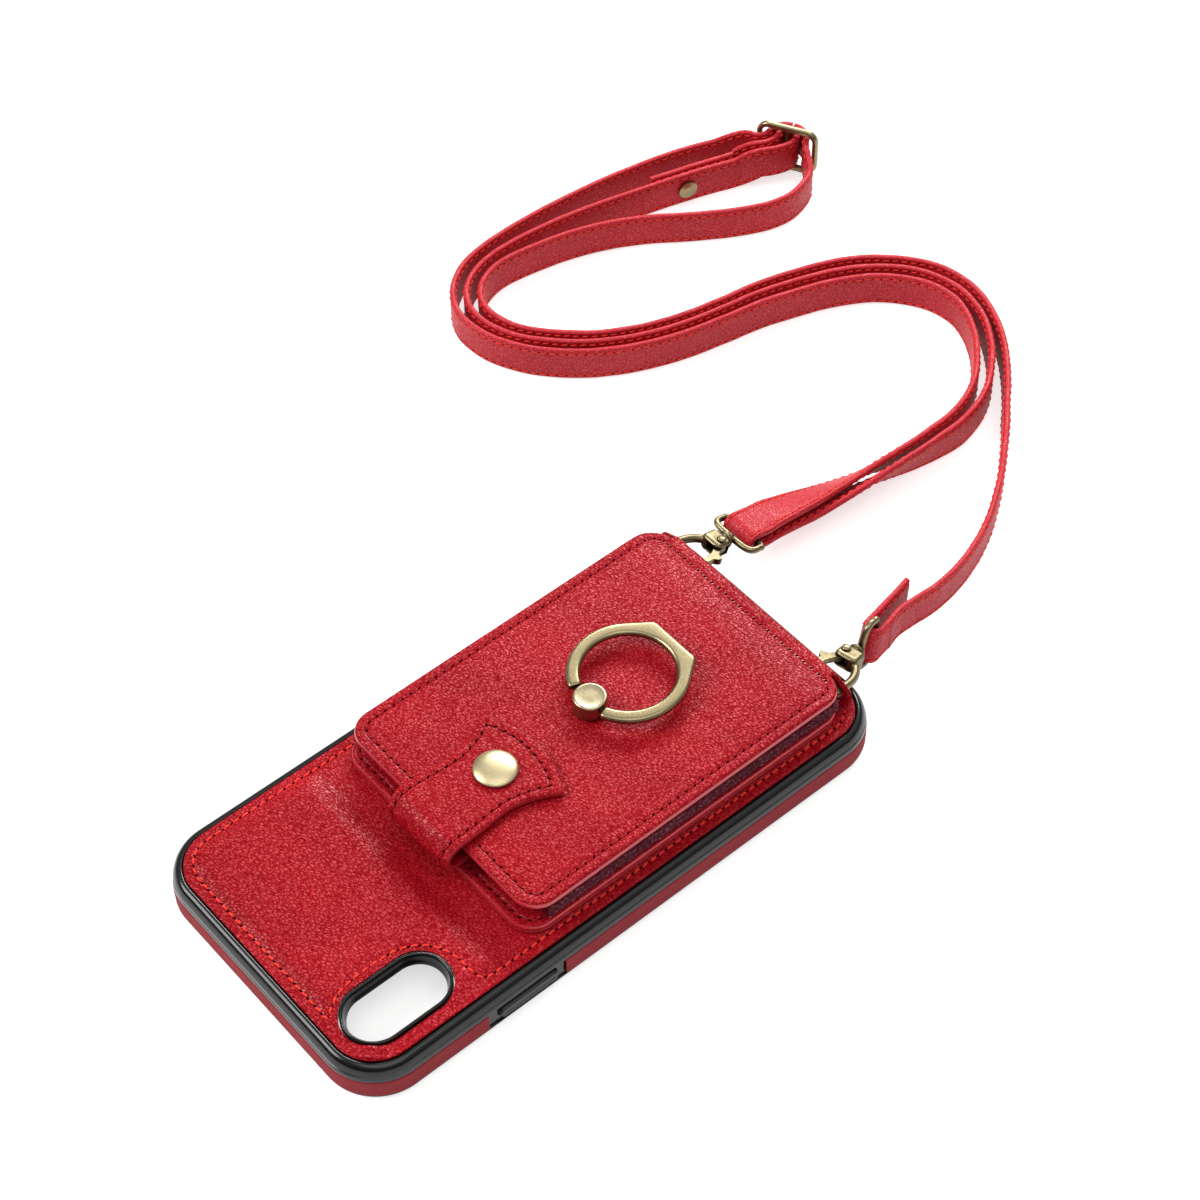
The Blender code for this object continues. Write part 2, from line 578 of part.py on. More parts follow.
def build_wallet():
    """Base panel, flexible spine, side gussets, card leaves and the cover's three layers."""
    base_centre = (0.0, (WALLET_NEAR + WALLET_FAR) / 2)
    base_half = (WALLET_FAR - WALLET_NEAR) / 2
    add_object("wallet_base", slab(WALLET_HALF_WIDTH, base_half, WALLET_CORNER, BASE_BOTTOM, BASE_TOP, 0.6,
                                   base_centre), RED_LEATHER, 0.5)

    hinge = empty("wallet_hinge_axis", (0.0, HINGE_Y, HINGE_Z))
    for index in range(LEAF_COUNT):
        bottom = LEAF_FIRST + LEAF_PITCH * index
        bm = slab(LEAF_HALF_WIDTH, LEAF_HALF_LENGTH - LEAF_STEP_BACK * index, 4.0, bottom,
                  bottom + LEAF_THICKNESS, 0.1, (0.0, LEAF_CENTRE_Y), 4)
        add_object(f"card_leaf_{index + 1}", bm, DARK_LEATHER, 0.6, parent=hinge)

    low, high = BASE_TOP + GAP + 0.2, COVER_BOTTOM - GAP - 0.2
    fold_z = [low + (high - low) * step / GUSSET_FOLDS for step in range(GUSSET_FOLDS + 1)]
    for name, side in (("gusset_power_side", 1), ("gusset_volume_side", -1)):
        outer_line = [(GUSSET_OUTER if step % 2 == 0 else GUSSET_INNER, z) for step, z in enumerate(fold_z)]
        section = [(x + GUSSET_LEATHER / 2, z) for x, z in outer_line]
        section += [(x - GUSSET_LEATHER / 2, z) for x, z in reversed(outer_line)]
        bm = bmesh.new()
        loft(bm, [[(side * x, y, z) for x, z in section] for y in (GUSSET_NEAR, GUSSET_FAR)])
        add_object(name, bm, DARK_LEATHER, 0.6)

    line = [(70.7, 12.6), (71.5, 13.7), (71.8, 15.6), (71.8, 18.0), (71.5, 19.8), (70.7, 21.0)]
    path = [Vector((0.0, y, z)) for y, z in line]
    section = [(SPINE_LEATHER / 2, -SPINE_HALF_WIDTH), (SPINE_LEATHER / 2, SPINE_HALF_WIDTH),
               (-SPINE_LEATHER / 2, SPINE_HALF_WIDTH), (-SPINE_LEATHER / 2, -SPINE_HALF_WIDTH)]
    spine = add_object("wallet_spine", sweep(path, [Vector((1, 0, 0))] * len(path), section), RED_LEATHER,
                       0.5)
    for side, sign in (("right", 1), ("left", -1)):
        for hole, u in enumerate(HOLE_U):
            x = sign * (CLASP_X + u)
            bar = rod((x, 60, CLASP_Z), (x, 80, CLASP_Z), HOLE_RADIUS, 16)
            boolean(spine, add_object(f"cut_spine_{side}_{hole}", bar, BOARD_GREY, 0.5))

    cover_centre = (0.0, (COVER_NEAR + WALLET_FAR) / 2)
    half_y = (WALLET_FAR - COVER_NEAR) / 2
    skin_floor = COVER_TOP - COVER_SKIN
    profile = [(1.1, skin_floor), (1.0, COVER_BOTTOM + 0.5), (0.25, COVER_BOTTOM + 0.5),
               (0.0, COVER_BOTTOM + 0.8), (0.0, COVER_TOP - 0.8), (0.25, COVER_TOP - 0.25), (0.8, COVER_TOP)]
    bm = bmesh.new()
    loft(bm, stack(profile, WALLET_HALF_WIDTH, half_y, WALLET_CORNER, cover_centre))
    cover = add_object("wallet_cover", bm, RED_LEATHER, 0.5, parent=hinge)
    cut_hole(cover, "cut_cover_stud", 0.0, SNAP_Y, STUD_SHAFT + GAP)
    cut_hole(cover, "cut_cover_post", POST_X, POST_Y, STUD_SHAFT + GAP)

    board_bottom, board_top = COVER_BOTTOM + 0.7, skin_floor - GAP
    inner_x, inner_y, inner_corner = WALLET_HALF_WIDTH - 1.7, half_y - 1.7, WALLET_CORNER - 1.2
    board = add_object("cover_board", slab(inner_x, inner_y, inner_corner, board_bottom, board_top, 0.15,
                                           cover_centre), BOARD_GREY, 0.9, parent=hinge)
    cut_hole(board, "cut_board_stud", 0.0, SNAP_Y, FLANGE_RADIUS + GAP)
    cut_hole(board, "cut_board_post", POST_X, POST_Y, FLANGE_RADIUS + GAP)
    add_object("cover_lining", slab(inner_x, inner_y, inner_corner, COVER_BOTTOM, board_bottom - GAP, 0.1,
                                    cover_centre), DARK_LEATHER, 0.7, parent=hinge)
    return hinge


def tab_half_width(along):
    """Half width of the closure tab, from its root (0) to its fanned end (1)."""
    waist = 9.6 + 1.2 * math.sin(math.pi * min(along / 0.75, 1.0))
    flare = max(along - 0.60, 0.0) / 0.40
    return waist + 5.2 * flare ** 2.2


def build_closure_tab():
    """The tab that is sewn to the base, wraps round the cover's edge and snaps down on the cover."""
    tab_axis = empty("tab_fold_axis", (0.0, TAB_AXIS_Y, TAB_AXIS_Z))
    flat_z = TAB_BOTTOM + TAB_LEATHER / 2
    centre_line = [(-22.4, 15.9), (-25.4, 15.7), (-28.2, 16.0), (-30.0, 17.0), (-30.9, 18.8), (-30.6, 20.6),
                   (-29.3, 22.2), (-27.2, flat_z), (-24.0, flat_z), (-20.0, flat_z), (-16.0, flat_z),
                   (-12.0, flat_z), (-9.0, flat_z), (-6.0, flat_z), (-4.0, flat_z), (-2.2, flat_z)]
    line = smooth_path([(0.0, y, z) for y, z in centre_line], 2)
    lengths = [0.0]
    for before, after in zip(line, line[1:]):
        lengths.append(lengths[-1] + (after - before).length)
    columns = 8
    rings = []
    for index, point in enumerate(line):
        tangent = (line[min(index + 1, len(line) - 1)] - line[max(index - 1, 0)]).normalized()
        normal = Vector((1, 0, 0)).cross(tangent)
        along = lengths[index] / lengths[-1]
        half = tab_half_width(along)
        bow = 4.3 * max(along - 0.72, 0.0) / 0.28
        upper, lower = [], []
        for column in range(columns + 1):
            across = 2 * column / columns - 1
            place = point + Vector((half * across, bow * (1 - across * across), 0.0))
            thin = 0.35 if abs(across) == 1 else 0.0
            upper.append(place + normal * (TAB_LEATHER / 2 - thin))
            lower.append(place - normal * (TAB_LEATHER / 2 - thin))
        rings.append(upper + list(reversed(lower)))
    bm = bmesh.new()
    loft(bm, rings)
    tab = add_object("closure_tab", bm, RED_LEATHER, 0.5, parent=tab_axis)
    cut_hole(tab, "cut_tab_socket", 0.0, SNAP_Y, SOCKET_RADIUS + GAP, bottom=20.0)

    tab_top = TAB_BOTTOM + TAB_LEATHER
    cap = [(0.3, tab_top + GAP), (SNAP_CAP_RADIUS - 0.3, tab_top + GAP), (SNAP_CAP_RADIUS, tab_top + 0.6),
           (5.0, tab_top + 1.05), (4.2, tab_top + 1.5), (3.0, tab_top + 1.85), (1.5, tab_top + 2.05),
           (0.3, tab_top + 2.1)]
    add_object("snap_cap", turned(cap, (0.0, SNAP_Y)), BRASS, 0.35, 1.0, parent=tab_axis)
    socket_bottom, socket_top = TAB_BOTTOM + 0.35, tab_top
    socket = [(SOCKET_BORE, socket_bottom), (SOCKET_RADIUS - 0.2, socket_bottom),
              (SOCKET_RADIUS, socket_bottom + 0.3), (SOCKET_RADIUS, socket_top), (SOCKET_BORE, socket_top)]
    add_object("snap_socket", turned(socket, (0.0, SNAP_Y), tube=True), BRASS, 0.4, 1.0, parent=tab_axis)


def build_snap_stud(hinge):
    """The stud that is riveted through the cover and clicks into the tab's socket."""
    head_bottom = COVER_TOP + GAP
    profile = [(FLANGE_RADIUS, FLANGE_BOTTOM), (FLANGE_RADIUS, FLANGE_TOP), (STUD_SHAFT, FLANGE_TOP),
               (STUD_SHAFT, head_bottom), (STUD_HEAD - 0.2, head_bottom), (STUD_HEAD, head_bottom + 0.4),
               (STUD_HEAD - 0.3, head_bottom + 1.0), (STUD_HEAD - 1.0, head_bottom + 1.2)]
    add_object("snap_stud", turned(profile, (0.0, SNAP_Y)), BRASS, 0.4, 1.0, parent=hinge)


def ring_outer_radius(angle):
    """Outer radius of the finger ring; the far side (90 degrees) is a flat between two corners."""
    off_axis = abs(angle - math.pi / 2)
    corner = math.atan2(RING_FLAT_HALF, RING_OUTER)
    if off_axis < corner:
        return RING_OUTER / math.cos(off_axis)
    reach = math.hypot(RING_FLAT_HALF, RING_OUTER)
    tangent = corner + math.acos(RING_OUTER / reach)
    if off_axis < tangent:
        return RING_OUTER / math.cos(tangent - off_axis)
    return RING_OUTER


def build_finger_ring(hinge):
    """A post riveted to the cover, which swivels, and a ring that folds up from it on a pin."""
    rivet = [(FLANGE_RADIUS, FLANGE_BOTTOM), (FLANGE_RADIUS, FLANGE_TOP), (STUD_SHAFT, FLANGE_TOP),
             (STUD_SHAFT, POST_CAVITY_TOP - 0.4)]
    add_object("ring_post_rivet", turned(rivet, (POST_X, POST_Y)), BRASS, 0.4, 1.0, parent=hinge)

    swivel = empty("ring_swivel_axis", (POST_X, POST_Y, COVER_TOP))
    bottom = COVER_TOP + GAP
    bore = STUD_SHAFT + GAP
    post = [(0.3, POST_CAVITY_TOP), (bore, POST_CAVITY_TOP), (bore, bottom), (POST_RADIUS - 0.3, bottom),
            (POST_RADIUS, bottom + 0.3), (POST_RADIUS, POST_TOP - 0.3), (POST_RADIUS - 0.3, POST_TOP),
            (0.3, POST_TOP)]
    body = add_object("ring_post", turned(post, (POST_X, POST_Y)), BRASS, 0.35, 1.0, parent=swivel)
    bar = rod((POST_X - 6, POST_Y, RING_Z), (POST_X + 6, POST_Y, RING_Z), PIN_RADIUS + GAP, 16)
    boolean(body, add_object("cut_post_pin", bar, BOARD_GREY, 0.5))

    fold = empty("ring_fold_axis", (POST_X, POST_Y, RING_Z))
    half = POST_RADIUS + 0.25
    pin = rod((POST_X - half, POST_Y, RING_Z), (POST_X + half, POST_Y, RING_Z), PIN_RADIUS)
    add_object("ring_hinge_pin", pin, BRASS, 0.4, 1.0, parent=fold)
    end_angle = math.asin(RING_END_X / (RING_CENTRE_Y - POST_Y + 1.2))
    steps = 44
    edge = 0.5
    rings = []
    for step in range(steps + 1):
        angle = -math.pi / 2 + end_angle + (math.tau - 2 * end_angle) * step / steps
        outer = ring_outer_radius(angle)
        section = [(RING_INNER, -0.5), (RING_INNER + edge, -RING_HALF_THICKNESS),
                   (outer - edge, -RING_HALF_THICKNESS), (outer, -0.4), (outer, 0.4),
                   (outer - edge, RING_HALF_THICKNESS), (RING_INNER + edge, RING_HALF_THICKNESS),
                   (RING_INNER, 0.5)]
        rings.append([(POST_X + r * math.cos(angle), RING_CENTRE_Y + r * math.sin(angle), RING_Z + z)
                      for r, z in section])
    bm = bmesh.new()
    loft(bm, rings)
    add_object("finger_ring", bm, BRASS, 0.35, 1.0, parent=fold)


def build_clasp(side):
    """A swivel clasp: cast body with its hook, sprung gate on a rivet, and a bail that turns in the collar.

    In its own frame u runs across, v outwards along the strap and w up; the left clasp mirrors u.
    """
    mirror = 1 if side == "right" else -1
    yaw = Matrix.Rotation(math.radians(CLASP_YAW[side]), 4, "Z")
    tilt = Matrix.Rotation(math.radians(-CLASP_TILT), 4, "X")
    frame = empty(f"clasp_{side}_frame", (mirror * CLASP_X, CLASP_Y, CLASP_Z), yaw @ tilt)

    def add(name, bm):
        return add_object(name, bm, BRASS, 0.4, 1.0, parent=frame, local=True)

    bm = bmesh.new()
    barrel = ((1.0, 8.0), (0.3, 8.4), (0.0, 9.2), (0.0, 12.2), (0.5, 12.7), (1.2, 13.0))
    loft(bm, [[(mirror * u, v, w) for u, w in rounded_rect(3.2 - inset, 2.2 - 0.6 * inset, 1.2, steps=3)]
              for inset, v in barrel])
    body = add(f"clasp_body_{side}", bm)
    collar = stepped_rod((0, 0, 0), (0, 1, 0), [(12.6, 1.7), (13.3, 1.7), (13.5, 2.25), (14.2, 2.25),
                                               (14.5, 1.9)], 14)
    boolean(body, add(f"clasp_collar_{side}", collar), "UNION")
    hook_line = smooth_path([(2.3, 9.4, 0), (4.0, 7.2, 0), (5.0, 4.2, 0), (5.1, 1.0, 0), (4.6, -1.7, 0),
                             (2.6, -3.4, 0), (0.0, -3.8, 0), (-2.6, -3.2, 0), (-4.2, -1.4, 0),
                             (-4.4, 1.6, 0)], 2)
    hook_line = [Vector((mirror * p.x, p.y, p.z)) for p in hook_line]
    hook = sweep(hook_line, [Vector((0, 0, 1))] * len(hook_line), round_section(HOOK_RADIUS))
    boolean(body, add(f"clasp_hook_{side}", hook), "UNION")
    slot = bmesh.new()
    loft(slot, [[(mirror * u, v, w) for u, v in ((-4.5, 7.0), (0.9, 7.0), (0.9, 12.6), (-4.5, 12.6))]
                for w in (-1.3, 1.3)])
    boolean(body, add(f"cut_clasp_slot_{side}", slot))
    pivot_u = mirror * PIVOT_U
    boolean(body, add(f"cut_clasp_rivet_{side}", rod((pivot_u, PIVOT_V, -4), (pivot_u, PIVOT_V, 4), 0.9)))
    boolean(body, add(f"cut_clasp_bore_{side}", rod((0, 11.8, 0), (0, 18, 0), 1.2)))

    heads = [(-2.9, 0.95), (-2.7, 1.2), (-2.5, 1.2), (-2.5, 0.6), (2.5, 0.6), (2.5, 1.2), (2.7, 1.2),
             (2.9, 0.95)]
    add(f"clasp_rivet_{side}", stepped_rod((pivot_u, PIVOT_V, 0.0), (0, 0, 1), heads, 10))

    gate_axis = empty(f"clasp_{side}_gate_axis", (0, 0, 0))
    gate_axis.parent = frame
    gate_axis.matrix_world = frame.matrix_world @ Matrix.Translation(Vector((pivot_u, PIVOT_V, 0)) * MM)
    gate_line = [(-1.4, 12.2), (-0.2, 11.2), (-0.3, 9.9), (-1.2, 8.9), (-2.9, 6.0), (-3.5, 2.6), (-5.1, 2.7),
                 (-5.0, 5.2), (-6.0, 6.4), (-5.7, 7.4), (-4.2, 7.6), (-3.0, 9.6), (-2.8, 11.4)]
    gate = bmesh.new()
    loft(gate, [[(mirror * u - pivot_u, v - PIVOT_V, w) for u, v in gate_line] for w in (-0.9, 0.9)])
    gate_obj = add_object(f"clasp_gate_{side}", gate, BRASS, 0.4, 1.0, parent=gate_axis, local=True)
    hole = rod((0, 0, -3), (0, 0, 3), 0.9)
    boolean(gate_obj, add_object(f"cut_clasp_gate_{side}", hole, BOARD_GREY, 0.5, parent=gate_axis, local=True))

    half = [(0.0, 15.9), (3.6, 16.0), (5.7, 16.5), (BAIL_HALF_WIDTH, 17.7), (BAIL_HALF_WIDTH, 19.4),
            (BAIL_HALF_WIDTH - 0.6, BAIL_V)]
    loop = half + [(0.0, BAIL_V)] + [(-s, v) for s, v in reversed(half[1:])]
    flat = side == "left"
    loop_path = [Vector((s, v, 0.0)) if flat else Vector((0.0, v, s)) for s, v in loop]
    normal = Vector((0, 0, 1)) if flat else Vector((1, 0, 0))
    wire = sweep(loop_path, [normal] * len(loop_path), round_section(BAIL_WIRE), loop=True)
    bail = add(f"clasp_bail_{side}", wire)
    boolean(bail, add(f"clasp_stem_{side}", rod((0, 12.2, 0), (0, 16.0, 0), 0.8)), "UNION")
    return frame


def strap_pose(side_angle):
    """The strap's width direction: 0 degrees stands on edge, 90 lies flat with its upper edge towards +X."""
    return Vector((math.sin(math.radians(side_angle)), 0.0, math.cos(math.radians(side_angle))))


def build_run(name, points, angles, hole=None):
    """One run of the strap through 3-D points; angles gives its lean at each of the points."""
    per_segment = 2
    path = smooth_path(points, per_segment)
    ups = []
    for index in range(len(path)):
        place = min(index / per_segment, len(angles) - 1)
        low = int(place)
        high = min(low + 1, len(angles) - 1)
        ups.append(strap_pose(angles[low] + (angles[high] - angles[low]) * (place - low)))
    run = add_object(name, sweep(path, ups, strap_section()), RED_LEATHER, 0.5)
    if hole:
        boolean(run, hole)
    return run


def slider_point(along, out, z=0.0):
    """A point in the slider's frame: along its plate, out through its windows, and up."""
    angle = math.radians(SLIDER_ANGLE)
    return Vector((SLIDER_CENTRE[0] + along * math.cos(angle) - out * math.sin(angle),
                   SLIDER_CENTRE[1] + along * math.sin(angle) + out * math.cos(angle), z))


def fold_turn():
    """Half a turn of the strap round a bail's bar, as (along, across) points."""
    turns = [math.radians(degrees) for degrees in (90, 120, 150, 180, 210, 240, 270)]
    return [(FOLD_RADIUS * math.cos(turn), FOLD_RADIUS * math.sin(turn)) for turn in turns]


def build_strap(frames):
    """Three runs standing on edge, with their folds at the two bails and the free end at the slider."""
    def local(side, u, v, w):
        return frames[side].matrix_world @ (Vector((u, v, w)) * MM) / MM

    # Left bail: run B comes in above the bar, turns round it and leaves below it as run C.
    fold = [(3.2, FOLD_RADIUS)] + fold_turn() + [(3.2, -FOLD_RADIUS)]
    path = [local("left", 0.0, BAIL_V + along, up) for along, up in fold]
    folded = sweep(path, [Vector((1, 0, 0))] * len(path), strap_section())
    add_object("strap_fold_left", folded, RED_LEATHER, 0.5)
    start_b = local("left", 0.0, BAIL_V + 3.7, FOLD_RADIUS)
    start_c = local("left", 0.0, BAIL_V + 4.2, -FOLD_RADIUS)
    rise_b = [start_b, (-24.9, 101.0, 10.2), (-24.4, 110.0, 8.2), (-23.6, 120.0, 6.6), (-22.6, 131.0, 5.5),
              (-21.0, 141.0, STRAP_Z)]
    rise_c = [start_c, (-24.4, 101.0, 6.4), (-22.8, 110.0, 5.3), (-21.0, 120.0, 5.1), (-19.2, 131.0, 5.1),
              (-17.6, 141.0, STRAP_Z)]
    lean = [90.0, 84.0, 70.0, 52.0, 34.0, 18.0, 6.0]
    end_b = [(-11.6, -3.4), (-8.0, -3.1), (-5.9, -1.6), (-5.4, 0.2), (-4.6, 2.2), (-2.6, 3.9), (0.0, 4.5)]
    end_b = [slider_point(*place, SLIDER_STRAP_Z) for place in end_b]
    build_run("strap_run_b", rise_b + [(x, y, STRAP_Z) for x, y in RUN_B[:-1]] + end_b,
              lean + [0.0] * (len(RUN_B) + 5))

    rivet_at = Vector((*STRAP_RIVET_AT, STRAP_Z))
    rivet_normal = Vector(STRAP_RIVET_NORMAL)
    holes = []
    for name in ("run", "tail"):
        bar = rod(rivet_at - rivet_normal * 9, rivet_at + rivet_normal * 9, STRAP_RIVET_SHANK + 0.4)
        holes.append(add_object(f"cut_rivet_{name}", bar, BOARD_GREY, 0.5))
    end_c = [(-5.6, -9.6), (-1.4, -6.6), (1.6, -3.6), (2.5, -1.4)]
    end_c = [slider_point(*place, SLIDER_STRAP_Z) for place in end_c]
    build_run("strap_run_c", rise_c + [(x, y, STRAP_Z) for x, y in RUN_C[:-1]] + end_c,
              lean + [0.0] * (len(RUN_C) + 2), holes[0])

    # The free end: round the slider's centre bar and back beside run C, under the rivet.
    radius = math.hypot(SLIDER_BAR, SLIDER_HALF_THICKNESS) + GAP + STRAP_THICKNESS / 2
    round_bar = [(radius, -0.8)]
    for degrees in (0, 36, 72, 108, 144, 180):
        bend = math.radians(degrees)
        round_bar.append((radius * math.cos(bend), radius * math.sin(bend)))
    round_bar += [(-2.7, -1.8), (-4.6, -4.9), (-8.4, -7.6)]
    tail = [slider_point(*place, SLIDER_STRAP_Z) for place in round_bar]
    tail += [(-131.2, 184.0, STRAP_Z), (-134.5, 173.4, STRAP_Z), (-136.4, 166.8, STRAP_Z),
             (-138.6, 159.0, STRAP_Z)]
    build_run("strap_tail", tail, [0.0] * len(tail), holes[1])

    # Right bail: run A's end turns round the upright bar and lies back beside it.
    fold = [(18.0, -2.3), (11.0, -2.1), (5.0, -FOLD_RADIUS)]
    fold += [(along, -across) for along, across in fold_turn()] + [(3.4, FOLD_RADIUS)]
    path = [local("right", across, BAIL_V + along, STRAP_RISE * max(along, 0.0)) for along, across in fold]
    up = local("right", 0, 0, 1) - local("right", 0, 0, 0)
    folded = sweep(path, [up] * len(path), strap_section())
    add_object("strap_fold_right", folded, RED_LEATHER, 0.5)
    start_a = local("right", FOLD_RADIUS, BAIL_V + 4.0, STRAP_RISE * 4.0)
    heights = [9.4, 7.4, 6.0] + [STRAP_Z] * (len(RUN_A) - 3)
    run_a = [start_a] + [(x, y, z) for (x, y), z in zip(RUN_A[:-1], heights)]
    end_a = [(6.0, -1.9), (5.5, 0.2), (4.8, 2.2), (2.9, 3.9), (0.6, 4.5)]
    end_a = [slider_point(*place, SLIDER_STRAP_Z) for place in end_a]
    build_run("strap_run_a", run_a + end_a, [0.0] * (len(run_a) + len(end_a)))


def build_strap_hardware():
    """The slider, a flat loop with a centre bar standing on edge across the strap, and the strap's rivet."""
    half_h = SLIDER_HEIGHT / 2
    turn = Matrix.Rotation(math.radians(SLIDER_ANGLE), 4, "Z")
    frame = empty("slider_frame", (*SLIDER_CENTRE, half_h), turn)
    rings = []
    for inset, depth in ((0.35, -SLIDER_HALF_THICKNESS), (0.0, -0.6), (0.0, 0.6),
                         (0.35, SLIDER_HALF_THICKNESS)):
        outline = rounded_rect(SLIDER_HALF_LENGTH - inset, half_h - inset, 3.4, steps=6)
        rings.append([(a, depth, b) for a, b in outline])
    bm = bmesh.new()
    loft(bm, rings)
    slider = add_object("strap_slider", bm, BRASS, 0.35, 1.0, parent=frame, local=True)
    for name, centre in (("cut_slider_near", SLIDER_WINDOW), ("cut_slider_far", -SLIDER_WINDOW)):
        outline = rounded_rect(SLIDER_WINDOW - SLIDER_BAR, half_h - 1.9, 1.2, steps=4)
        window = bmesh.new()
        loft(window, [[(centre + a, depth, b) for a, b in outline] for depth in (-3.0, 3.0)])
        boolean(slider, add_object(name, window, BOARD_GREY, 0.5, parent=frame, local=True))

    rivet_at = Vector((*STRAP_RIVET_AT, STRAP_Z))
    face = STRAP_THICKNESS / 2 + GAP
    far = -TAIL_OFFSET - face
    radius = STRAP_RIVET_RADIUS
    cap = [(face + 0.9, radius - 0.6), (face + 0.7, radius - 0.2), (face + 0.4, radius), (face, radius),
           (face, STRAP_RIVET_SHANK), (far, STRAP_RIVET_SHANK)]
    add_object("strap_rivet_cap", stepped_rod(rivet_at, STRAP_RIVET_NORMAL, cap, 20), BRASS, 0.35, 1.0)
    back = [(far - GAP, radius - 0.5), (far - 0.9, radius - 0.5)]
    add_object("strap_rivet_back", stepped_rod(rivet_at, STRAP_RIVET_NORMAL, back, 20), BRASS, 0.35, 1.0)


def main():
    clear_scene()
    build_bumper()
    build_buttons()
    build_side_bands()
    build_back()
    hinge = build_wallet()
    build_closure_tab()
    build_snap_stud(hinge)
    build_finger_ring(hinge)
    frames = {side: build_clasp(side) for side in ("right", "left")}
    build_strap(frames)
    build_strap_hardware()


main()
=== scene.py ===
import math

import bmesh
import bpy
import numpy as np
from mathutils import Matrix, Vector, noise


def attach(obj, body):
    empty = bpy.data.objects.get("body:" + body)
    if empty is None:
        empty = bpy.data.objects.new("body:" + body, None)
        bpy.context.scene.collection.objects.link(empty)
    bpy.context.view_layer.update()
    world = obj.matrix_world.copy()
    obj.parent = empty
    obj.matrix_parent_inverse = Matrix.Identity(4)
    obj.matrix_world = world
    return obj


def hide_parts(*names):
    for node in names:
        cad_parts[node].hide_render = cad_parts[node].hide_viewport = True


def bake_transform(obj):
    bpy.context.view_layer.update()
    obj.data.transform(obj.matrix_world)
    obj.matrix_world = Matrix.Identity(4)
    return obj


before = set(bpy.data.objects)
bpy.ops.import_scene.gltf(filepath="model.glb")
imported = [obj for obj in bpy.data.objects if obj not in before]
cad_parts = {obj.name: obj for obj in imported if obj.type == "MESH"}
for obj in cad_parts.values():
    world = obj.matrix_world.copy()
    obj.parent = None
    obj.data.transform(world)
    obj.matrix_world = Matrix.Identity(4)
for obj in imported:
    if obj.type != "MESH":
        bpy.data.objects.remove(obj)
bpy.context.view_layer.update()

MM = 0.001
GAP = 0.3
CASE_HALF_WIDTH = 40.6
CASE_HALF_LENGTH = 78.2
CASE_CORNER = 13.65
WINDOW = (26.4, -58.2)
WINDOW_HALF = (7.8, 13.8)


# ---------------------------------------------------------------- meshes
def add_object(name, data):
    obj = bpy.data.objects.new(name, data)
    bpy.context.scene.collection.objects.link(obj)
    return obj


def lay(mesh, points):
    """Keep, in millimetres, the coordinates that the mesh's material is laid on."""
    laid = mesh.attributes.get("rest") or mesh.attributes.new("rest", "FLOAT_VECTOR", "POINT")
    laid.data.foreach_set("vector", np.asarray(points, np.float32).ravel())


def relay(obj):
    """Lay the material coordinates afresh from the present vertex places."""
    points = np.zeros(len(obj.data.vertices) * 3, np.float32)
    obj.data.vertices.foreach_get("co", points)
    lay(obj.data, points / MM)


def build(name, verts, faces, material, sharp=38.0, rest=None):
    """A mesh object from points in millimetres; its material is laid on them, or on rest."""
    verts = np.asarray(verts, float)
    mesh = bpy.data.meshes.new(name)
    mesh.from_pydata((verts * MM).tolist(), [], [tuple(int(i) for i in face) for face in faces])
    lay(mesh, verts if rest is None else rest)
    bm = bmesh.new()
    bm.from_mesh(mesh)
    bmesh.ops.remove_doubles(bm, verts=bm.verts, dist=1e-7)
    bmesh.ops.recalc_face_normals(bm, faces=bm.faces)
    bm.to_mesh(mesh)
    bm.free()
    finish_mesh(mesh, material, sharp)
    return add_object(name, mesh)


def finish_mesh(mesh, material, sharp):
    mesh.materials.clear()
    mesh.materials.append(material)
    mesh.shade_smooth()
    if sharp:
        mesh.set_sharp_from_angle(angle=math.radians(sharp))


def paint_edges(obj, steep, sideways=False):
    """Give the cut edges of a leather piece their own smooth, painted skin."""
    mesh = obj.data
    mesh.materials.append(EDGE)
    for face in mesh.polygons:
        across = max(abs(face.normal.x), face.normal.y) if sideways else 1.0 - abs(face.normal.z)
        if across > steep:
            face.material_index = 1


def apply_modifiers(obj, material, sharp):
    graph = bpy.context.evaluated_depsgraph_get()
    mesh = bpy.data.meshes.new_from_object(obj.evaluated_get(graph))
    obj.modifiers.clear()
    obj.data = mesh
    finish_mesh(mesh, material, sharp)


def cut(obj, cutters, material, sharp=38.0):
    """Take the cutters off obj and throw them away."""
    for cutter in cutters:
        modifier = obj.modifiers.new("cut", "BOOLEAN")
        modifier.operation = "DIFFERENCE"
        modifier.solver = "EXACT"
        modifier.object = cutter
    apply_modifiers(obj, material, sharp)
    for cutter in cutters:
        bpy.data.objects.remove(cutter)


def cast(obj, parts, voxel, material):
    """Fuse overlapping solids into one cast skin with softened edges."""
    bm = bmesh.new()
    bm.from_mesh(obj.data)
    for part in parts:
        bm.from_mesh(part.data)
        bpy.data.objects.remove(part)
    bm.to_mesh(obj.data)
    bm.free()
    remesh = obj.modifiers.new("remesh", "REMESH")
    remesh.mode = "VOXEL"
    remesh.voxel_size = voxel * MM
    relax = obj.modifiers.new("relax", "SMOOTH")
    relax.factor = 0.5
    relax.iterations = 4
    apply_modifiers(obj, material, 0)
    relay(obj)


def quads(index):
    """Faces between the neighbours in a grid of vertex numbers."""
    return np.stack([index[:-1, :-1], index[:-1, 1:], index[1:, 1:], index[1:, :-1]], -1).reshape(-1, 4)


def loft(rings, loop=False):
    """Vertices and faces of a skin over equal rings, closed at its ends or looped."""
    rings = [np.asarray(ring, float) for ring in rings]
    index = np.arange(len(rings) * len(rings[0])).reshape(len(rings), -1)
    around = np.hstack([index, index[:, :1]])
    faces = quads(np.vstack([around, around[:1]]) if loop else around).tolist()
    if not loop:
        faces += [index[0][::-1].tolist(), index[-1].tolist()]
    return np.concatenate(rings), faces


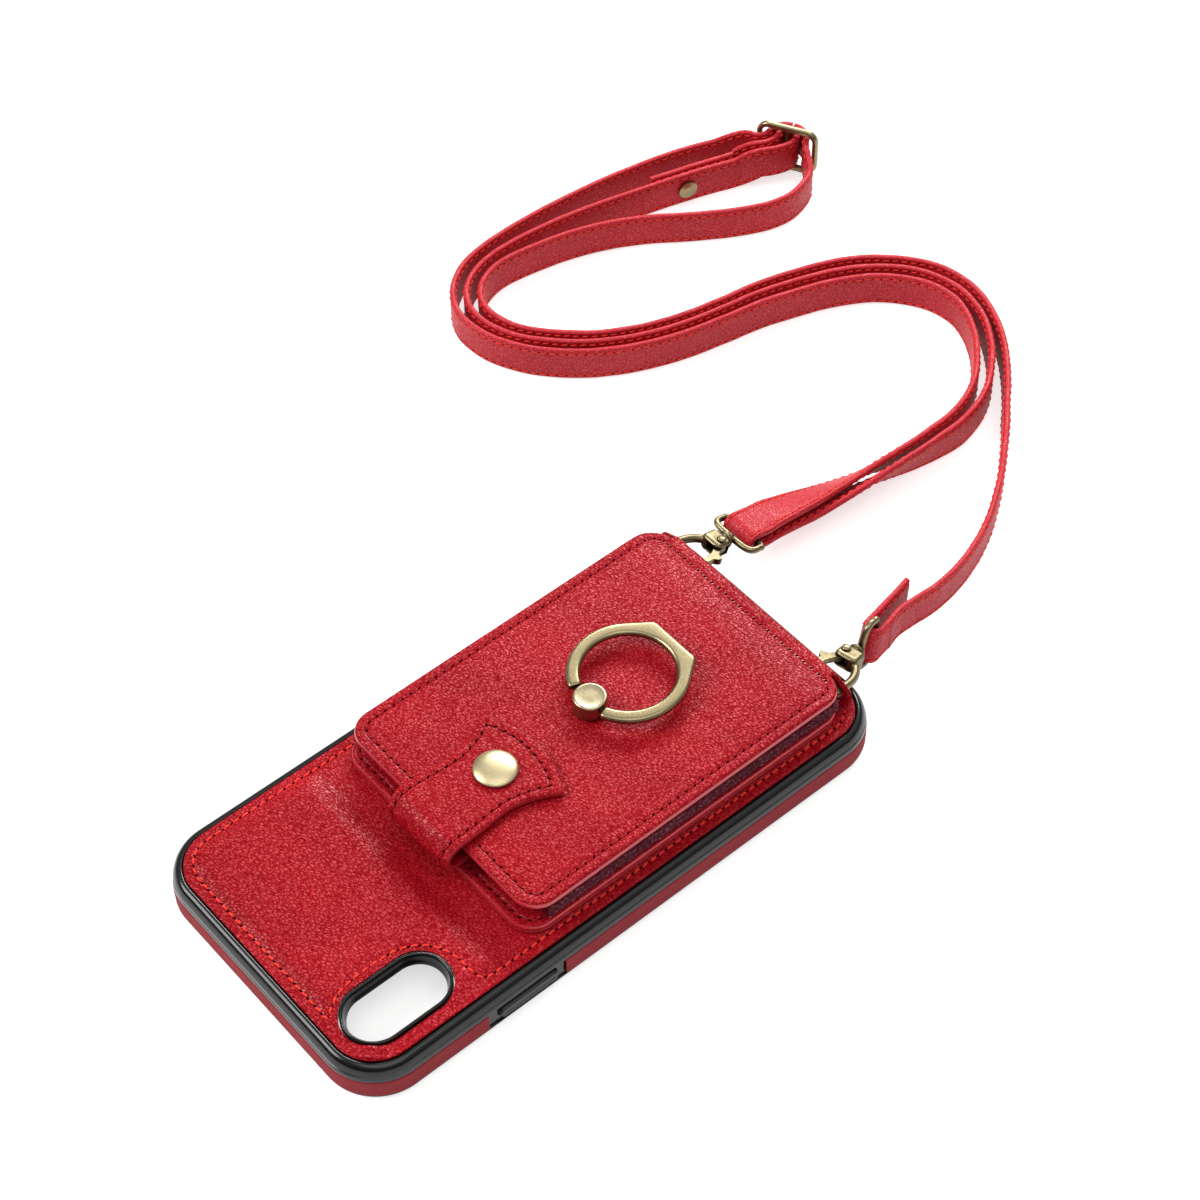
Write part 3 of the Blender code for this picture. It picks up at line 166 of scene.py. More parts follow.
def join(*parts):
    """One vertex and face list out of several."""
    verts, faces, start = [], [], 0
    for points, polygons in parts:
        verts.append(np.asarray(points, float))
        faces.extend([[i + start for i in polygon] for polygon in polygons])
        start += len(points)
    return np.concatenate(verts), faces


def rounded(half_x, half_y, radius, steps=20, straight=(1, 1), centre=(0.0, 0.0)):
    """Points of a rounded rectangle, anticlockwise from the +X side."""
    radius = min(radius, half_x - 0.01, half_y - 0.01)
    points = []
    for corner, (sx, sy) in enumerate(((1, 1), (-1, 1), (-1, -1), (1, -1))):
        cx, cy = centre[0] + sx * (half_x - radius), centre[1] + sy * (half_y - radius)
        for step in range(steps + 1):
            angle = math.radians(90.0 * (corner + step / steps))
            points.append((cx + radius * math.cos(angle), cy + radius * math.sin(angle)))
        run = 2 * ((half_y, half_x)[corner % 2 == 0] - radius)
        splits = straight[corner % 2]
        dx, dy = ((-1, 0), (0, -1), (1, 0), (0, 1))[corner]
        last = points[-1]
        points += [(last[0] + dx * run * split / splits, last[1] + dy * run * split / splits)
                   for split in range(1, splits)]
    return np.array(points)


def stack(profile, half_x, half_y, radius, centre=(0.0, 0.0), steps=20, straight=(1, 1)):
    """Rings of a rounded rectangle at (inset, z) steps."""
    rings = []
    for inset, z in profile:
        outline = rounded(half_x - inset, half_y - inset, max(radius - inset, 0.3), steps, straight, centre)
        rings.append(np.column_stack([outline, np.full(len(outline), z)]))
    return rings


def circle(radius, sides=20):
    turns = np.linspace(0, math.tau, sides, endpoint=False)
    return np.column_stack([radius * np.cos(turns), radius * np.sin(turns)])


def lathe(profile, centre, sides=96, loop=False):
    """A turned piece standing at centre, from (radius, z) steps."""
    return loft([np.column_stack([circle(r, sides) + centre, np.full(sides, z)]) for r, z in profile], loop)


def bar(start, axis, profile, sides=32):
    """A turned bar along any axis, from (distance, radius) steps."""
    start, axis = Vector(start), Vector(axis).normalized()
    across = axis.orthogonal().normalized()
    other = axis.cross(across)
    turns = np.linspace(0, math.tau, sides, endpoint=False)
    return loft([[start + axis * distance + (across * math.cos(t) + other * math.sin(t)) * radius
                  for t in turns] for distance, radius in profile])


def smooth_path(points, per_segment):
    """Catmull-Rom curve through the points."""
    points = np.asarray(points, float)
    padded = np.vstack([2 * points[0] - points[1], points, 2 * points[-1] - points[-2]])
    result = []
    for index in range(1, len(padded) - 2):
        before, here, there, after = padded[index - 1:index + 3]
        for t in np.arange(per_segment) / per_segment:
            result.append(0.5 * (2 * here + (there - before) * t
                                 + (2 * before - 5 * here + 4 * there - after) * t * t
                                 + (3 * here - before - 3 * there + after) * t ** 3))
    result.append(points[-1])
    return np.array(result)


def unit(vectors):
    return vectors / np.maximum(np.linalg.norm(vectors, axis=-1, keepdims=True), 1e-12)


def sweep(path, ups, section, loop=False):
    """Carry a (side, up) section along a path. Returns the skin, and each ring's side and up."""
    path = np.asarray(path, float)
    ahead, behind = np.roll(path, -1, 0), np.roll(path, 1, 0)
    if not loop:
        ahead[-1], behind[0] = path[-1], path[0]
    tangents = unit(ahead - behind)
    ups = np.broadcast_to(np.asarray(ups, float), path.shape)
    ups = unit(ups - tangents * np.sum(ups * tangents, 1, keepdims=True))
    sides = np.cross(tangents, ups)
    section = np.asarray(section, float)
    rings = [point + side * section[:, :1] + up * section[:, 1:]
             for point, side, up in zip(path, sides, ups)]
    return loft(rings, loop), sides, ups


def ease(value, low, high):
    t = np.clip((value - low) / (high - low), 0, 1)
    return t * t * (3 - 2 * t)


def field(points, scale, seed):
    """Smooth noise at each point, from about -1 to 1."""
    shift = Vector((seed * 7.3, seed * 3.1, seed * 5.7))
    return np.array([noise.noise(Vector(p) * scale + shift) for p in np.asarray(points, float)])


def depth_inside(x, y, half_x, half_y, radius, centre=(0.0, 0.0)):
    """Distance in from the edge of a rounded rectangle."""
    qx = np.abs(x - centre[0]) - (half_x - radius)
    qy = np.abs(y - centre[1]) - (half_y - radius)
    return radius - np.hypot(np.maximum(qx, 0), np.maximum(qy, 0)) - np.minimum(np.maximum(qx, qy), 0)


def spaced(half, band, fine, coarse):
    """Positions from -half to half, fine near both ends."""
    near = np.arange(0, band, fine)
    middle_count = max(2, int(round(2 * (half - band) / coarse)))
    middle = np.linspace(-half + band, half - band, middle_count + 1)
    return np.concatenate([-half + near, middle, (half - near)[::-1]])


def plate(half_x, half_y, radius, centre, top, edge, floor, arc=24, band=6.5, fine=0.4, coarse=1.0):
    """A leather panel: a dense top grid at height top(x, y), rolled edges and a grid below.

    edge lists (outset, z) rings going out and down from the grid's border, then in under it to floor.
    Any z and the floor may be a number or a function of x and y.
    """
    columns = spaced(half_x, band, fine, coarse) / half_x
    turns = np.linspace(math.pi / 2, 0, arc + 1)
    straight = half_y - radius
    low = -straight - radius * np.sin(turns)
    middle = np.linspace(-straight, straight, max(2, int(2 * straight / coarse)))
    rows = np.concatenate([low[:-1], middle, -low[:-1][::-1]])
    reach = np.maximum(np.abs(rows) - straight, 0)
    widths = half_x - radius + np.sqrt(np.maximum(radius ** 2 - reach ** 2, 0))
    x = np.outer(widths, columns) + centre[0]
    y = np.repeat(rows[:, None], len(columns), 1) + centre[1]
    index = np.arange(x.size).reshape(x.shape)
    grid = quads(index)
    border = np.concatenate([index[0], index[1:, -1], index[-1, :-1][::-1], index[1:-1, 0][::-1]])
    upper = np.column_stack([x.ravel(), y.ravel(), top(x.ravel(), y.ravel())])
    flat = upper[border, :2] - np.array(centre)
    inner = np.clip(flat, [radius - half_x, -straight], [half_x - radius, straight])
    normal = unit(flat - inner)

    def at_height(points, z):
        points[:, 2] = z(points[:, 0], points[:, 1]) if callable(z) else z
        return points

    verts, faces, previous, start = [upper], grid.tolist(), border, len(upper)
    for outset, z in edge:
        ring = upper[border]
        ring[:, :2] += normal * outset
        verts.append(at_height(ring, z))
        following = start + np.arange(len(border))
        faces += np.stack([previous, following, np.roll(following, -1), np.roll(previous, -1)], -1).tolist()
        previous, start = following, start + len(border)
    verts.append(at_height(upper.copy(), floor))
    faces += (grid[:, ::-1] + start).tolist()
    below = border + start
    faces += np.stack([previous, below, np.roll(below, -1), np.roll(previous, -1)], -1).tolist()
    return np.concatenate(verts), faces


# ---------------------------------------------------------------- stitches
STITCH_PITCH = 2.5
STITCH_TURN = 0.1


def distances(points):
    """How far along a line each of its points is."""
    return np.concatenate([[0], np.cumsum(np.linalg.norm(np.diff(points, axis=0), axis=1))])


def at(line, lengths, where):
    return np.column_stack([np.interp(where, lengths, line[:, axis]) for axis in range(line.shape[1])])


def thread_template(length, radius, sink):
    """A stitch: a round thread that dips into the leather at both ends."""
    rings = []
    for u in np.linspace(-1, 1, 9):
        ring = circle(radius * (1 - 0.55 * abs(u) ** 3), 8)
        lift = radius * 0.45 - sink * abs(u) ** 2.4
        rings.append(np.column_stack([np.full(8, u * length / 2), ring[:, 0], ring[:, 1] + lift]))
    return loft(rings)


def hole_template(length, width, height):
    """A needle hole: a small dark lens lying in the seam, painted shade standing for the shadow in the hole.
    """
    return loft([np.column_stack([circle(s / 2, 12) * (length, width), np.full(12, height * h)])
                 for s, h in ((1.0, -1.0), (1.0, 0.0), (0.7, 0.7), (0.25, 1.0))])


def place_copies(template, origins, forwards, normals, turn, jitter):
    """Copies of a template at each station, turned in the surface by turn radians."""
    verts, faces = template
    sides = unit(np.cross(normals, forwards))
    wobble = turn + np.array([jitter * noise.noise(Vector(o) * 1.7) for o in origins])
    c, s = np.cos(wobble)[:, None], np.sin(wobble)[:, None]
    axes = (forwards * c + sides * s, sides * c - forwards * s, normals)
    placed = origins[:, None] + sum(axis[:, None] * verts[None, :, [i]] for i, axis in enumerate(axes))
    polygons = [[i + k * len(verts) for i in face] for k in range(len(origins)) for face in faces]
    return placed.reshape(-1, 3), polygons


def stitches(points, normals, length, radius, hole_turn, hole_size, sink, closed=False):
    """A row of stitches along a line, and the needle holes between them as dark lenses of painted shade."""
    if closed:
        points, normals = np.vstack([points, points[:1]]), np.vstack([normals, normals[:1]])
    lengths = distances(points)
    count = max(2, int(round(lengths[-1] / STITCH_PITCH)))
    lift, thread_wobble, hole_wobble = (0.03, 0.15, 0.15) if closed else (0.05, 0.12, 0.25)
    made = []
    for template, first, number, turn, wobble in (
            (thread_template(length, radius, sink), 0.5, count, STITCH_TURN, thread_wobble),
            (hole_template(*hole_size), 1.0 - closed, count - 1 + closed, hole_turn, hole_wobble)):
        where = (np.arange(number) + first) * lengths[-1] / count
        if not closed:
            where = np.clip(where, 0.05, lengths[-1] - 0.05)
        spots, up = at(points, lengths, where), unit(at(normals, lengths, where))
        ahead = at(points, lengths, np.minimum(where + 0.2, lengths[-1])) - at(points, lengths, where - 0.2)
        ahead = unit(ahead - up * np.sum(ahead * up, 1, keepdims=True))
        made.append(place_copies(template, spots + up * lift, ahead, up, turn, wobble))
    return made


# ---------------------------------------------------------------- materials
class Shader:
    """A small builder for the nodes of one procedural material, or of the world."""

    def __init__(self, owner):
        self.owner = bpy.data.materials.new(owner) if isinstance(owner, str) else owner
        self.owner.use_nodes = True
        self.tree = self.owner.node_tree
        self.principled = self.tree.nodes.get("Principled BSDF")

    def node(self, kind, values=None, **settings):
        made = self.tree.nodes.new(kind)
        for key, value in settings.items():
            setattr(made, key, value)
        for key, value in (values or {}).items():
            self.set(made.inputs[key], value)
        return made

    def set(self, socket, value):
        if isinstance(value, bpy.types.NodeSocket):
            self.tree.links.new(value, socket)
        else:
            socket.default_value = value

    def rest(self, scale=(1, 1, 1), lean=None):
        """The mesh's own laid-out millimetres; lean draws the pattern out along a leaning direction."""
        laid = self.node("ShaderNodeAttribute", attribute_name="rest").outputs["Vector"]
        turn = (0.0, 0.0, math.radians(lean or 0.0))
        return self.node("ShaderNodeMapping", {"Vector": laid, "Scale": scale, "Rotation": turn},
                         vector_type="POINT" if lean is None else "TEXTURE").outputs["Vector"]

    def noise(self, vector, scale, detail=3.0, roughness=0.5):
        return self.node("ShaderNodeTexNoise", {"Vector": vector, "Scale": scale, "Detail": detail,
                                                "Roughness": roughness}).outputs["Fac"]

    def cells(self, vector, scale):
        return self.node("ShaderNodeTexVoronoi", {"Vector": vector, "Scale": scale},
                         feature="DISTANCE_TO_EDGE").outputs["Distance"]

    def add(self, a, b):
        return self.node("ShaderNodeMath", {0: a, 1: b}, operation="ADD").outputs[0]

    def times(self, a, b):
        return self.node("ShaderNodeMath", {0: a, 1: b}, operation="MULTIPLY").outputs[0]

    def remap(self, value, low, high, to_low=0.0, to_high=1.0):
        return self.node("ShaderNodeMapRange", {"Value": value, "From Min": low, "From Max": high,
                                                "To Min": to_low, "To Max": to_high}).outputs[0]

    def warp(self, vector, scale, amount):
        """The vector pushed about by noise, so that cells lose their straight walls."""
        made = self.node("ShaderNodeTexNoise", {"Vector": vector, "Scale": scale, "Detail": 2.0})
        less = self.node("ShaderNodeVectorMath", {0: made.outputs["Color"], 1: (0.5, 0.5, 0.5)},
                         operation="SUBTRACT")
        more = self.node("ShaderNodeVectorMath", {0: less.outputs[0], "Scale": amount}, operation="SCALE")
        return self.node("ShaderNodeVectorMath", {0: vector, 1: more.outputs[0]}).outputs[0]

    def ramp(self, value, *stops):
        made = self.node("ShaderNodeValToRGB", {"Fac": value})
        ramp = made.color_ramp
        while len(ramp.elements) < len(stops):
            ramp.elements.new(0.5)
        for element, (place, colour) in zip(ramp.elements, stops):
            element.position = place
            element.color = (*colour, 1.0)
        return made.outputs["Color"]

    def mix(self, factor, a, b):
        values = [factor] + [(*c, 1.0) if isinstance(c, tuple) else c for c in (a, b)]
        return self.node("ShaderNodeMix", {0: values[0], 6: values[1], 7: values[2]},
                         data_type="RGBA").outputs[2]

    def bump(self, height, strength, distance):
        """Relief for the surface, and a gentler one for its gloss."""
        for socket, part in (("Normal", 1.0), ("Coat Normal", 0.3)):
            made = self.node("ShaderNodeBump", {"Height": height, "Strength": part * strength,
                                                "Distance": distance * MM})
            self.set(self.principled.inputs[socket], made.outputs["Normal"])

    def finish(self, **values):
        for key, value in values.items():
            self.set(self.principled.inputs[key.replace("_", " ")], value)
        return self.owner


def tone(colour, factor):
    return tuple(factor * c for c in colour)


def leather(name, deep, mid, light, grain=1.75, relief=0.12, rough=(0.34, 0.54), coat=(0.02, 0.42),
            stretch=(2.0, 1.0, 1.0), lean=16.0, gloss=(0.02, 0.28)):
    """Pebbled, creased leather: drawn-out cells of grain with fine creases, glossy on the tops."""
    s = Shader(name)
    base = s.rest(stretch, lean)
    warped = s.warp(base, 0.9, 0.9)
    pebble = s.remap(s.cells(warped, grain), 0.0, 0.36)
    minor = s.remap(s.cells(s.warp(base, 1.7, 0.5), grain * 1.8), 0.0, 0.3)
    crease = s.remap(s.noise(warped, grain * 1.3, 3.0, 0.6), 0.35, 0.65)
    height = s.add(s.add(s.times(pebble, 0.62), s.times(minor, 0.16)), s.times(crease, 0.3))
    s.bump(height, 1.0, relief)
    # the colour follows the grain's height: painted shade darkens the creases and valleys and a painted
    # highlight lightens the pebble tops, with random patches of tone
    patches = s.noise(base, 0.055, 3.0)
    relief_shade_and_tone = s.add(s.times(height, 0.62), s.times(patches, 0.28))
    return s.finish(Base_Color=s.ramp(relief_shade_and_tone, (0.16, deep), (0.54, mid), (0.95, light)),
                    Roughness=s.remap(height, 0.2, 1.05, rough[1], rough[0]),
                    Coat_Weight=s.remap(height, 0.35, 1.0, *coat), Coat_Roughness=0.27,
                    Specular_IOR_Level=s.remap(height, 0.3, 1.0, *gloss))


def cut_edge(name, colour):
    """The smooth painted edge of a leather strip."""
    s = Shader(name)
    base = s.rest()
    waves = s.noise(base, 0.8, 4.0)
    s.bump(s.noise(base, 2.5, 5.0), 0.5, 0.05)
    return s.finish(Base_Color=s.mix(waves, tone(colour, 0.75), tone(colour, 1.15)),
                    Roughness=s.remap(waves, 0.2, 0.8, 0.3, 0.45), Coat_Weight=0.35)


def thread_material(name, colour):
    s = Shader(name)
    twist = s.node("ShaderNodeTexWave", {"Vector": s.rest(), "Scale": 2.6, "Distortion": 1.5, "Detail": 1.0},
                   wave_type="BANDS", bands_direction="DIAGONAL").outputs["Fac"]
    s.bump(twist, 0.8, 0.05)
    return s.finish(Base_Color=s.mix(twist, tone(colour, 0.6), colour), Roughness=0.62,
                    Specular_IOR_Level=0.2)


def soft_plastic(name, colour, rough, relief=0.02, gloss=0.4):
    s = Shader(name)
    base = s.rest()
    fine = s.noise(base, 7.0, 3.0)
    wide = s.noise(base, 0.06, 3.0)
    s.bump(fine, 0.6, relief)
    roughness = s.add(s.remap(wide, 0.3, 0.7, rough - 0.05, rough + 0.06), s.times(fine, 0.05))
    return s.finish(Base_Color=s.mix(wide, tone(colour, 0.8), tone(colour, 1.25)), Roughness=roughness,
                    Specular_IOR_Level=gloss)


def brass(name, bright, dark, rough=0.3, relief=0.012, patina=0.35, hollow=1.4):
    """Satin brass with brushing and cloudy patina, its recesses darkened: partly patina, partly painted
    shade.
    """
    s = Shader(name)
    lines = s.noise(s.rest((0.4, 7.0, 7.0)), 1.6, 4.0, 0.6)
    base = s.rest()
    clouds = s.noise(base, 0.22, 5.0, 0.6)
    pits = s.remap(s.noise(base, 3.2, 3.0), 0.58, 0.75)
    # painted shade: ambient occlusion darkens the colour in recesses and between parts, where shade falls; on
    # the antique finish it also stands for patina in the hollows
    occlusion_shade = s.node("ShaderNodeAmbientOcclusion", {"Distance": hollow * MM}, samples=8).outputs["AO"]
    patina_and_shade = s.times(s.remap(occlusion_shade, 0.35, 0.95), s.remap(clouds, 0.25, 0.6, 1.0 - patina, 1.0))
    colour = s.mix(s.times(pits, 0.35), s.mix(patina_and_shade, dark, bright), dark)
    s.bump(lines, 0.5, relief)
    roughness = s.add(s.remap(lines, 0.3, 0.7, rough - 0.04, rough + 0.08),
                      s.remap(patina_and_shade, 0.0, 1.0, 0.25, 0.0))
    return s.finish(Base_Color=colour, Metallic=1.0, Roughness=roughness)


def cloth_band(name, dark, light):
    """Matte cloth-backed strip round the bumper."""
    s = Shader(name)
    base = s.rest()
    grain = s.remap(s.cells(s.warp(base, 2.0, 0.4), 2.6), 0.0, 0.35)
    wide = s.noise(base, 0.09, 4.0)
    s.bump(s.add(grain, s.noise(base, 6.0)), 0.7, 0.03)
    tint = s.mix(s.add(s.times(grain, 0.4), s.times(wide, 0.6)), dark, light)
    return s.finish(Base_Color=tint, Roughness=0.8, Specular_IOR_Level=0.2)


def card(name, colour):
    s = Shader(name)
    fibre = s.noise(s.rest(), 1.4, 6.0, 0.7)
    s.bump(fibre, 0.5, 0.03)
    return s.finish(Base_Color=s.mix(fibre, tone(colour, 0.7), colour), Roughness=0.9)


RED_TONES = (0.13, 0.001, 0.003), (0.335, 0.003, 0.009), (0.47, 0.015, 0.025)
RED = leather("red_leather_cover", *RED_TONES)
RED_PANEL = leather("red_leather_panel", *RED_TONES, grain=1.65, relief=0.125)
RED_STRAP = leather("red_leather_strap", (0.28, 0.003, 0.008), (0.43, 0.009, 0.020), (0.58, 0.035, 0.05),
                    grain=2.0, relief=0.07, rough=(0.4, 0.58), coat=(0.02, 0.3), stretch=(1, 0.8, 1),
                    lean=None, gloss=(0.15, 0.5))
# dark wine leather; on the gussets its darkness is partly painted shade, standing for the shade under the
# cover
WINE_AND_SHADE = leather("wine_leather", (0.045, 0.003, 0.008), (0.14, 0.012, 0.026), (0.30, 0.07, 0.095), grain=0.95,
               relief=0.16, rough=(0.36, 0.55), coat=(0.0, 0.1), stretch=(1, 1, 1), lean=None,
               gloss=(0.1, 0.5))
LINING = leather("lining_leather", (0.1, 0.004, 0.008), (0.2, 0.01, 0.018), (0.3, 0.03, 0.04), grain=2.2,
                 relief=0.03, coat=(0.0, 0.02), stretch=(1, 1, 1), lean=None, gloss=(0.1, 0.3))
EDGE = cut_edge("leather_edge", (0.44, 0.014, 0.024))
THREAD = thread_material("thread_red", (0.34, 0.006, 0.014))
BRIGHT_THREAD = thread_material("thread_bright", (0.95, 0.045, 0.03))
# painted shade: near-black lenses stand for the shadow inside the needle holes
HOLE_SHADE = soft_plastic("needle_holes", (0.016, 0.0008, 0.0015), 0.9, gloss=0.0)
BLACK = soft_plastic("black_bumper", (0.004, 0.0041, 0.0043), 0.16, 0.006, gloss=0.36)
BLACK_MATTE = soft_plastic("black_soft", (0.008, 0.0085, 0.009), 0.38, 0.03)
BAND = cloth_band("wine_band", (0.17, 0.012, 0.017), (0.30, 0.026, 0.034))
BRASS = brass("satin_brass", (0.26, 0.215, 0.12), (0.05, 0.04, 0.02), 0.27)
BRASS_CAP = brass("cap_brass", (0.38, 0.32, 0.20), (0.12, 0.09, 0.045), 0.26, patina=0.25, relief=0.004)
# painted light: a lighter copy of the cap brass, so that the snap dome looks pale where it reflects darker
# parts of the world
SNAP_BRASS_LIT = brass("snap_brass", (0.50, 0.42, 0.25), (0.14, 0.11, 0.055), 0.36, patina=0.2, relief=0.003)
ANTIQUE = brass("antique_brass", (0.22, 0.18, 0.10), (0.025, 0.02, 0.012), 0.3, patina=0.6, relief=0.02,
                hollow=2.2)
CARD = card("grey_card", (0.5, 0.47, 0.42))
FOAM = card("pale_foam", (0.6, 0.58, 0.54))


def dress(piece, body, slot, *replaced):
    """Ride a body and stand for CAD nodes, which are hidden; slot is not used."""
    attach(piece, body)
    if replaced:
        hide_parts(*replaced)


def bend(pieces, replaced):
    """Bake each piece's placing into its mesh and hide the CAD node that the pieces stand for."""
    for piece in pieces:
        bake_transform(piece)
    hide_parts(replaced)


def above(base, profile):
    """The steps of a profile, each (radius, height over base)."""
    return [(radius, base + height) for radius, height in profile]


def turned(name, profile, centre, sides, material, body, node, loop=False):
    """A turned piece of metal that stands at centre and for a CAD node."""
    dress(build(name, *lathe(profile, centre, sides, loop), material), body, "brass", node)


# ---------------------------------------------------------------- camera and stage
def stage_and_lights():
    scene = bpy.context.scene
    scene.view_settings.view_transform = "Standard"
    data = bpy.data.cameras.new("camera")
    data.sensor_width = 36.0
    data.lens = 84.46
    data.clip_start, data.clip_end = 0.01, 20.0
    scene.camera = add_object("camera", data)
    right, up, back = (0.64775, 0.76172, -0.01415), (-0.58068, 0.50566, 0.63806), (0.49317, -0.40509, 0.76986)
    place = (0.30774, -0.22932, 0.53979)
    scene.camera.matrix_world = Matrix([*zip(right, up, back, place), (0, 0, 0, 1)])

    mesh = bpy.data.meshes.new("floor")
    half, steps = 3.0, 12
    index = np.arange((2 * steps + 1) ** 2).reshape(2 * steps + 1, -1)
    points = [(x * half / steps, y * half / steps, 0.0) for y in range(-steps, steps + 1)
              for x in range(-steps, steps + 1)]
    mesh.from_pydata(points, [], quads(index).tolist())
    s = Shader("floor_paper")
    cloudy = s.noise(s.node("ShaderNodeNewGeometry").outputs["Position"], 3.0, 2.0)
    mesh.materials.append(s.finish(Base_Color=s.mix(cloudy, (0.53, 0.527, 0.52), (0.56, 0.557, 0.55)),
                                   Roughness=0.9, Specular_IOR_Level=0.1, Emission_Color=(1, 1, 1, 1),
                                   Emission_Strength=0.62))
    add_object("floor", mesh)

    sky = Shader(bpy.data.worlds.new("studio"))
    scene.world = sky.owner
    direction = sky.node("ShaderNodeTexCoord").outputs["Generated"]
    parts = sky.node("ShaderNodeSeparateXYZ", {0: direction}).outputs
    background = sky.tree.nodes["Background"].inputs
    sky.set(background["Strength"], sky.times(sky.remap(parts["Z"], 0.15, 0.85, 0.12, 0.85),
                                              sky.remap(parts["Y"], -0.9, 0.9, 0.4, 1.3)))
    sky.set(background["Color"], (1.0, 0.995, 0.985, 1.0))

    for name, toward, spread, power in (("key", (-0.5, -0.58, 0.66), 30.0, 2.4),
                                        ("fill", (0.3, -0.12, 1.0), 50.0, 1.1)):
        data = bpy.data.lights.new(name, "SUN")
        data.angle = math.radians(spread)
        data.energy = power
        add_object(name, data).rotation_euler = Vector(toward).to_track_quat("Z", "Y").to_euler()
    data = bpy.data.lights.new("rim", "AREA")
    data.shape = "RECTANGLE"
    data.size, data.size_y = 0.9, 0.35
    data.energy = 19.0
    light = add_object("rim", data)
    light.location = (-0.62, 0.9, 0.74)
    aim = Vector((-0.03, 0.05, 0.0))
    light.rotation_euler = (aim - light.location).to_track_quat("-Z", "Y").to_euler()


stage_and_lights()


# ---------------------------------------------------------------- strap
STRAP_WIDTH = 10.3
STRAP_THICKNESS = 1.7
STRAP_Z = 5.3
STRAP_ROW = 1.2
BAIL_V = 20.6
BAIL_WIRE = 0.9
FOLD_RADIUS = BAIL_WIRE + GAP + STRAP_THICKNESS / 2
STRAP_CHANNEL = 0.15
STRAP_RIPPLE = 0.12
SLIDER_CENTRE = (-125.2, 198.4)
SLIDER_ANGLE = 28.0
SLIDER_STRAP_Z = 7.7
STRAP_RIVET_AT = (-133.45, 167.7, STRAP_Z)
STRAP_RIVET_NORMAL = (0.96, -0.28, 0.0)
TAIL_OFFSET = 2.9
CLASP_PLACE = (25.0, 71.2, 15.6)
CLASP_TILT = 16.0
CLASP_YAW = {"right": 12.0, "left": 0.0}

RUN_A = [
    (20.6, 101.0), (20.0, 114.0), (17.4, 126.0), (12.8, 138.0), (5.0, 150.8), (-3.7, 161.8), (-13.3, 172.4),
    (-23.4, 182.6), (-33.5, 190.4), (-46.0, 195.6), (-57.5, 195.8), (-66.2, 192.0), (-74.2, 185.0),
    (-80.4, 176.0), (-84.8, 165.0), (-88.2, 153.5), (-90.3, 141.1), (-93.0, 129.0), (-97.0, 118.3),
    (-102.2, 109.2), (-109.0, 101.5), (-116.8, 95.2), (-124.0, 92.6), (-130.6, 92.8), (-136.0, 96.0),
    (-139.4, 101.4), (-140.4, 108.5), (-139.2, 117.6), (-137.0, 127.6), (-133.2, 137.8), (-127.8, 147.6),
    (-119.4, 159.2), (-113.0, 169.5), (-109.5, 177.3), (-108.4, 184.2), (-109.6, 190.2), (-112.6, 195.4),
]
RUN_C = [
    (-16.6, 151.0), (-16.6, 160.0), (-19.3, 169.6), (-24.6, 178.0), (-31.6, 185.0), (-40.0, 190.4),
    (-49.5, 192.9), (-58.4, 191.6), (-66.2, 187.6), (-73.2, 180.6), (-78.6, 171.6), (-82.4, 161.6),
    (-85.6, 151.0), (-87.7, 139.4), (-90.4, 127.4), (-94.6, 116.2), (-100.2, 106.6), (-107.2, 98.6),
    (-115.4, 92.2), (-123.8, 89.1), (-131.8, 89.3), (-138.4, 93.0), (-142.6, 99.6), (-144.4, 108.0),
    (-144.2, 118.5), (-142.6, 131.4), (-140.2, 142.8), (-137.6, 152.8), (-134.9, 162.8), (-132.0, 172.6),
    (-128.6, 182.6),
]
RUN_B = [
    (-20.0, 151.0), (-20.2, 160.0), (-22.9, 168.4), (-27.8, 175.8), (-34.4, 182.2), (-41.8, 187.0),
    (-49.4, 189.4), (-57.0, 188.4), (-63.8, 184.6), (-70.0, 178.6), (-75.2, 170.0), (-79.0, 160.2),
    (-82.2, 149.8), (-84.4, 138.6), (-87.0, 127.0), (-91.2, 115.4), (-97.0, 105.0), (-104.2, 96.5),
    (-113.2, 89.6), (-122.8, 85.9), (-132.6, 85.8), (-140.8, 90.2), (-146.2, 97.8), (-148.6, 107.6),
    (-149.2, 119.4), (-148.8, 132.0), (-147.4, 147.0), (-145.2, 160.4), (-142.4, 172.4), (-138.6, 183.4),
]


def clasp_frame(side):
    mirror = 1 if side == "right" else -1
    turn = (Matrix.Rotation(math.radians(CLASP_YAW[side]), 4, "Z")
            @ Matrix.Rotation(math.radians(-CLASP_TILT), 4, "X"))
    return Matrix.Translation((mirror * CLASP_PLACE[0], CLASP_PLACE[1], CLASP_PLACE[2])) @ turn


CLASP = {side: clasp_frame(side) for side in ("right", "left")}


def local(side, u, v, w):
    return tuple(CLASP[side] @ Vector((u, v, w)))


def slider_point(along, out, z=SLIDER_STRAP_Z):
    angle = math.radians(SLIDER_ANGLE)
    return (SLIDER_CENTRE[0] + along * math.cos(angle) - out * math.sin(angle),
            SLIDER_CENTRE[1] + along * math.sin(angle) + out * math.cos(angle), z)


def strap_outline():
    """The strap's section: folded edges, flat faces and a shallow channel under each row of stitches."""
    half_t, half_w = STRAP_THICKNESS / 2, STRAP_WIDTH / 2
    row = half_w - STRAP_ROW
    out = [0.8, 1.7, 2.6, 3.3, 3.65, 3.85, row, 4.05, 4.25, 4.5]
    face = [(half_t - STRAP_CHANNEL * math.exp(-((abs(v) - row) / 0.22) ** 2) - 0.05 * ease(abs(v), 2.0, 4.5),
             v) for v in [-v for v in reversed(out)] + [0.0] + out]
    turns = [math.pi * step / 8 for step in range(1, 8)]
    corner = [((half_t - 0.05) * math.cos(t), half_w - 0.62 + 0.62 * math.sin(t)) for t in turns]
    return np.array(face + corner + [(-t, v) for t, v in reversed(face)] + [(-t, -v) for t, v in corner])


STRAP_SECTION = strap_outline()


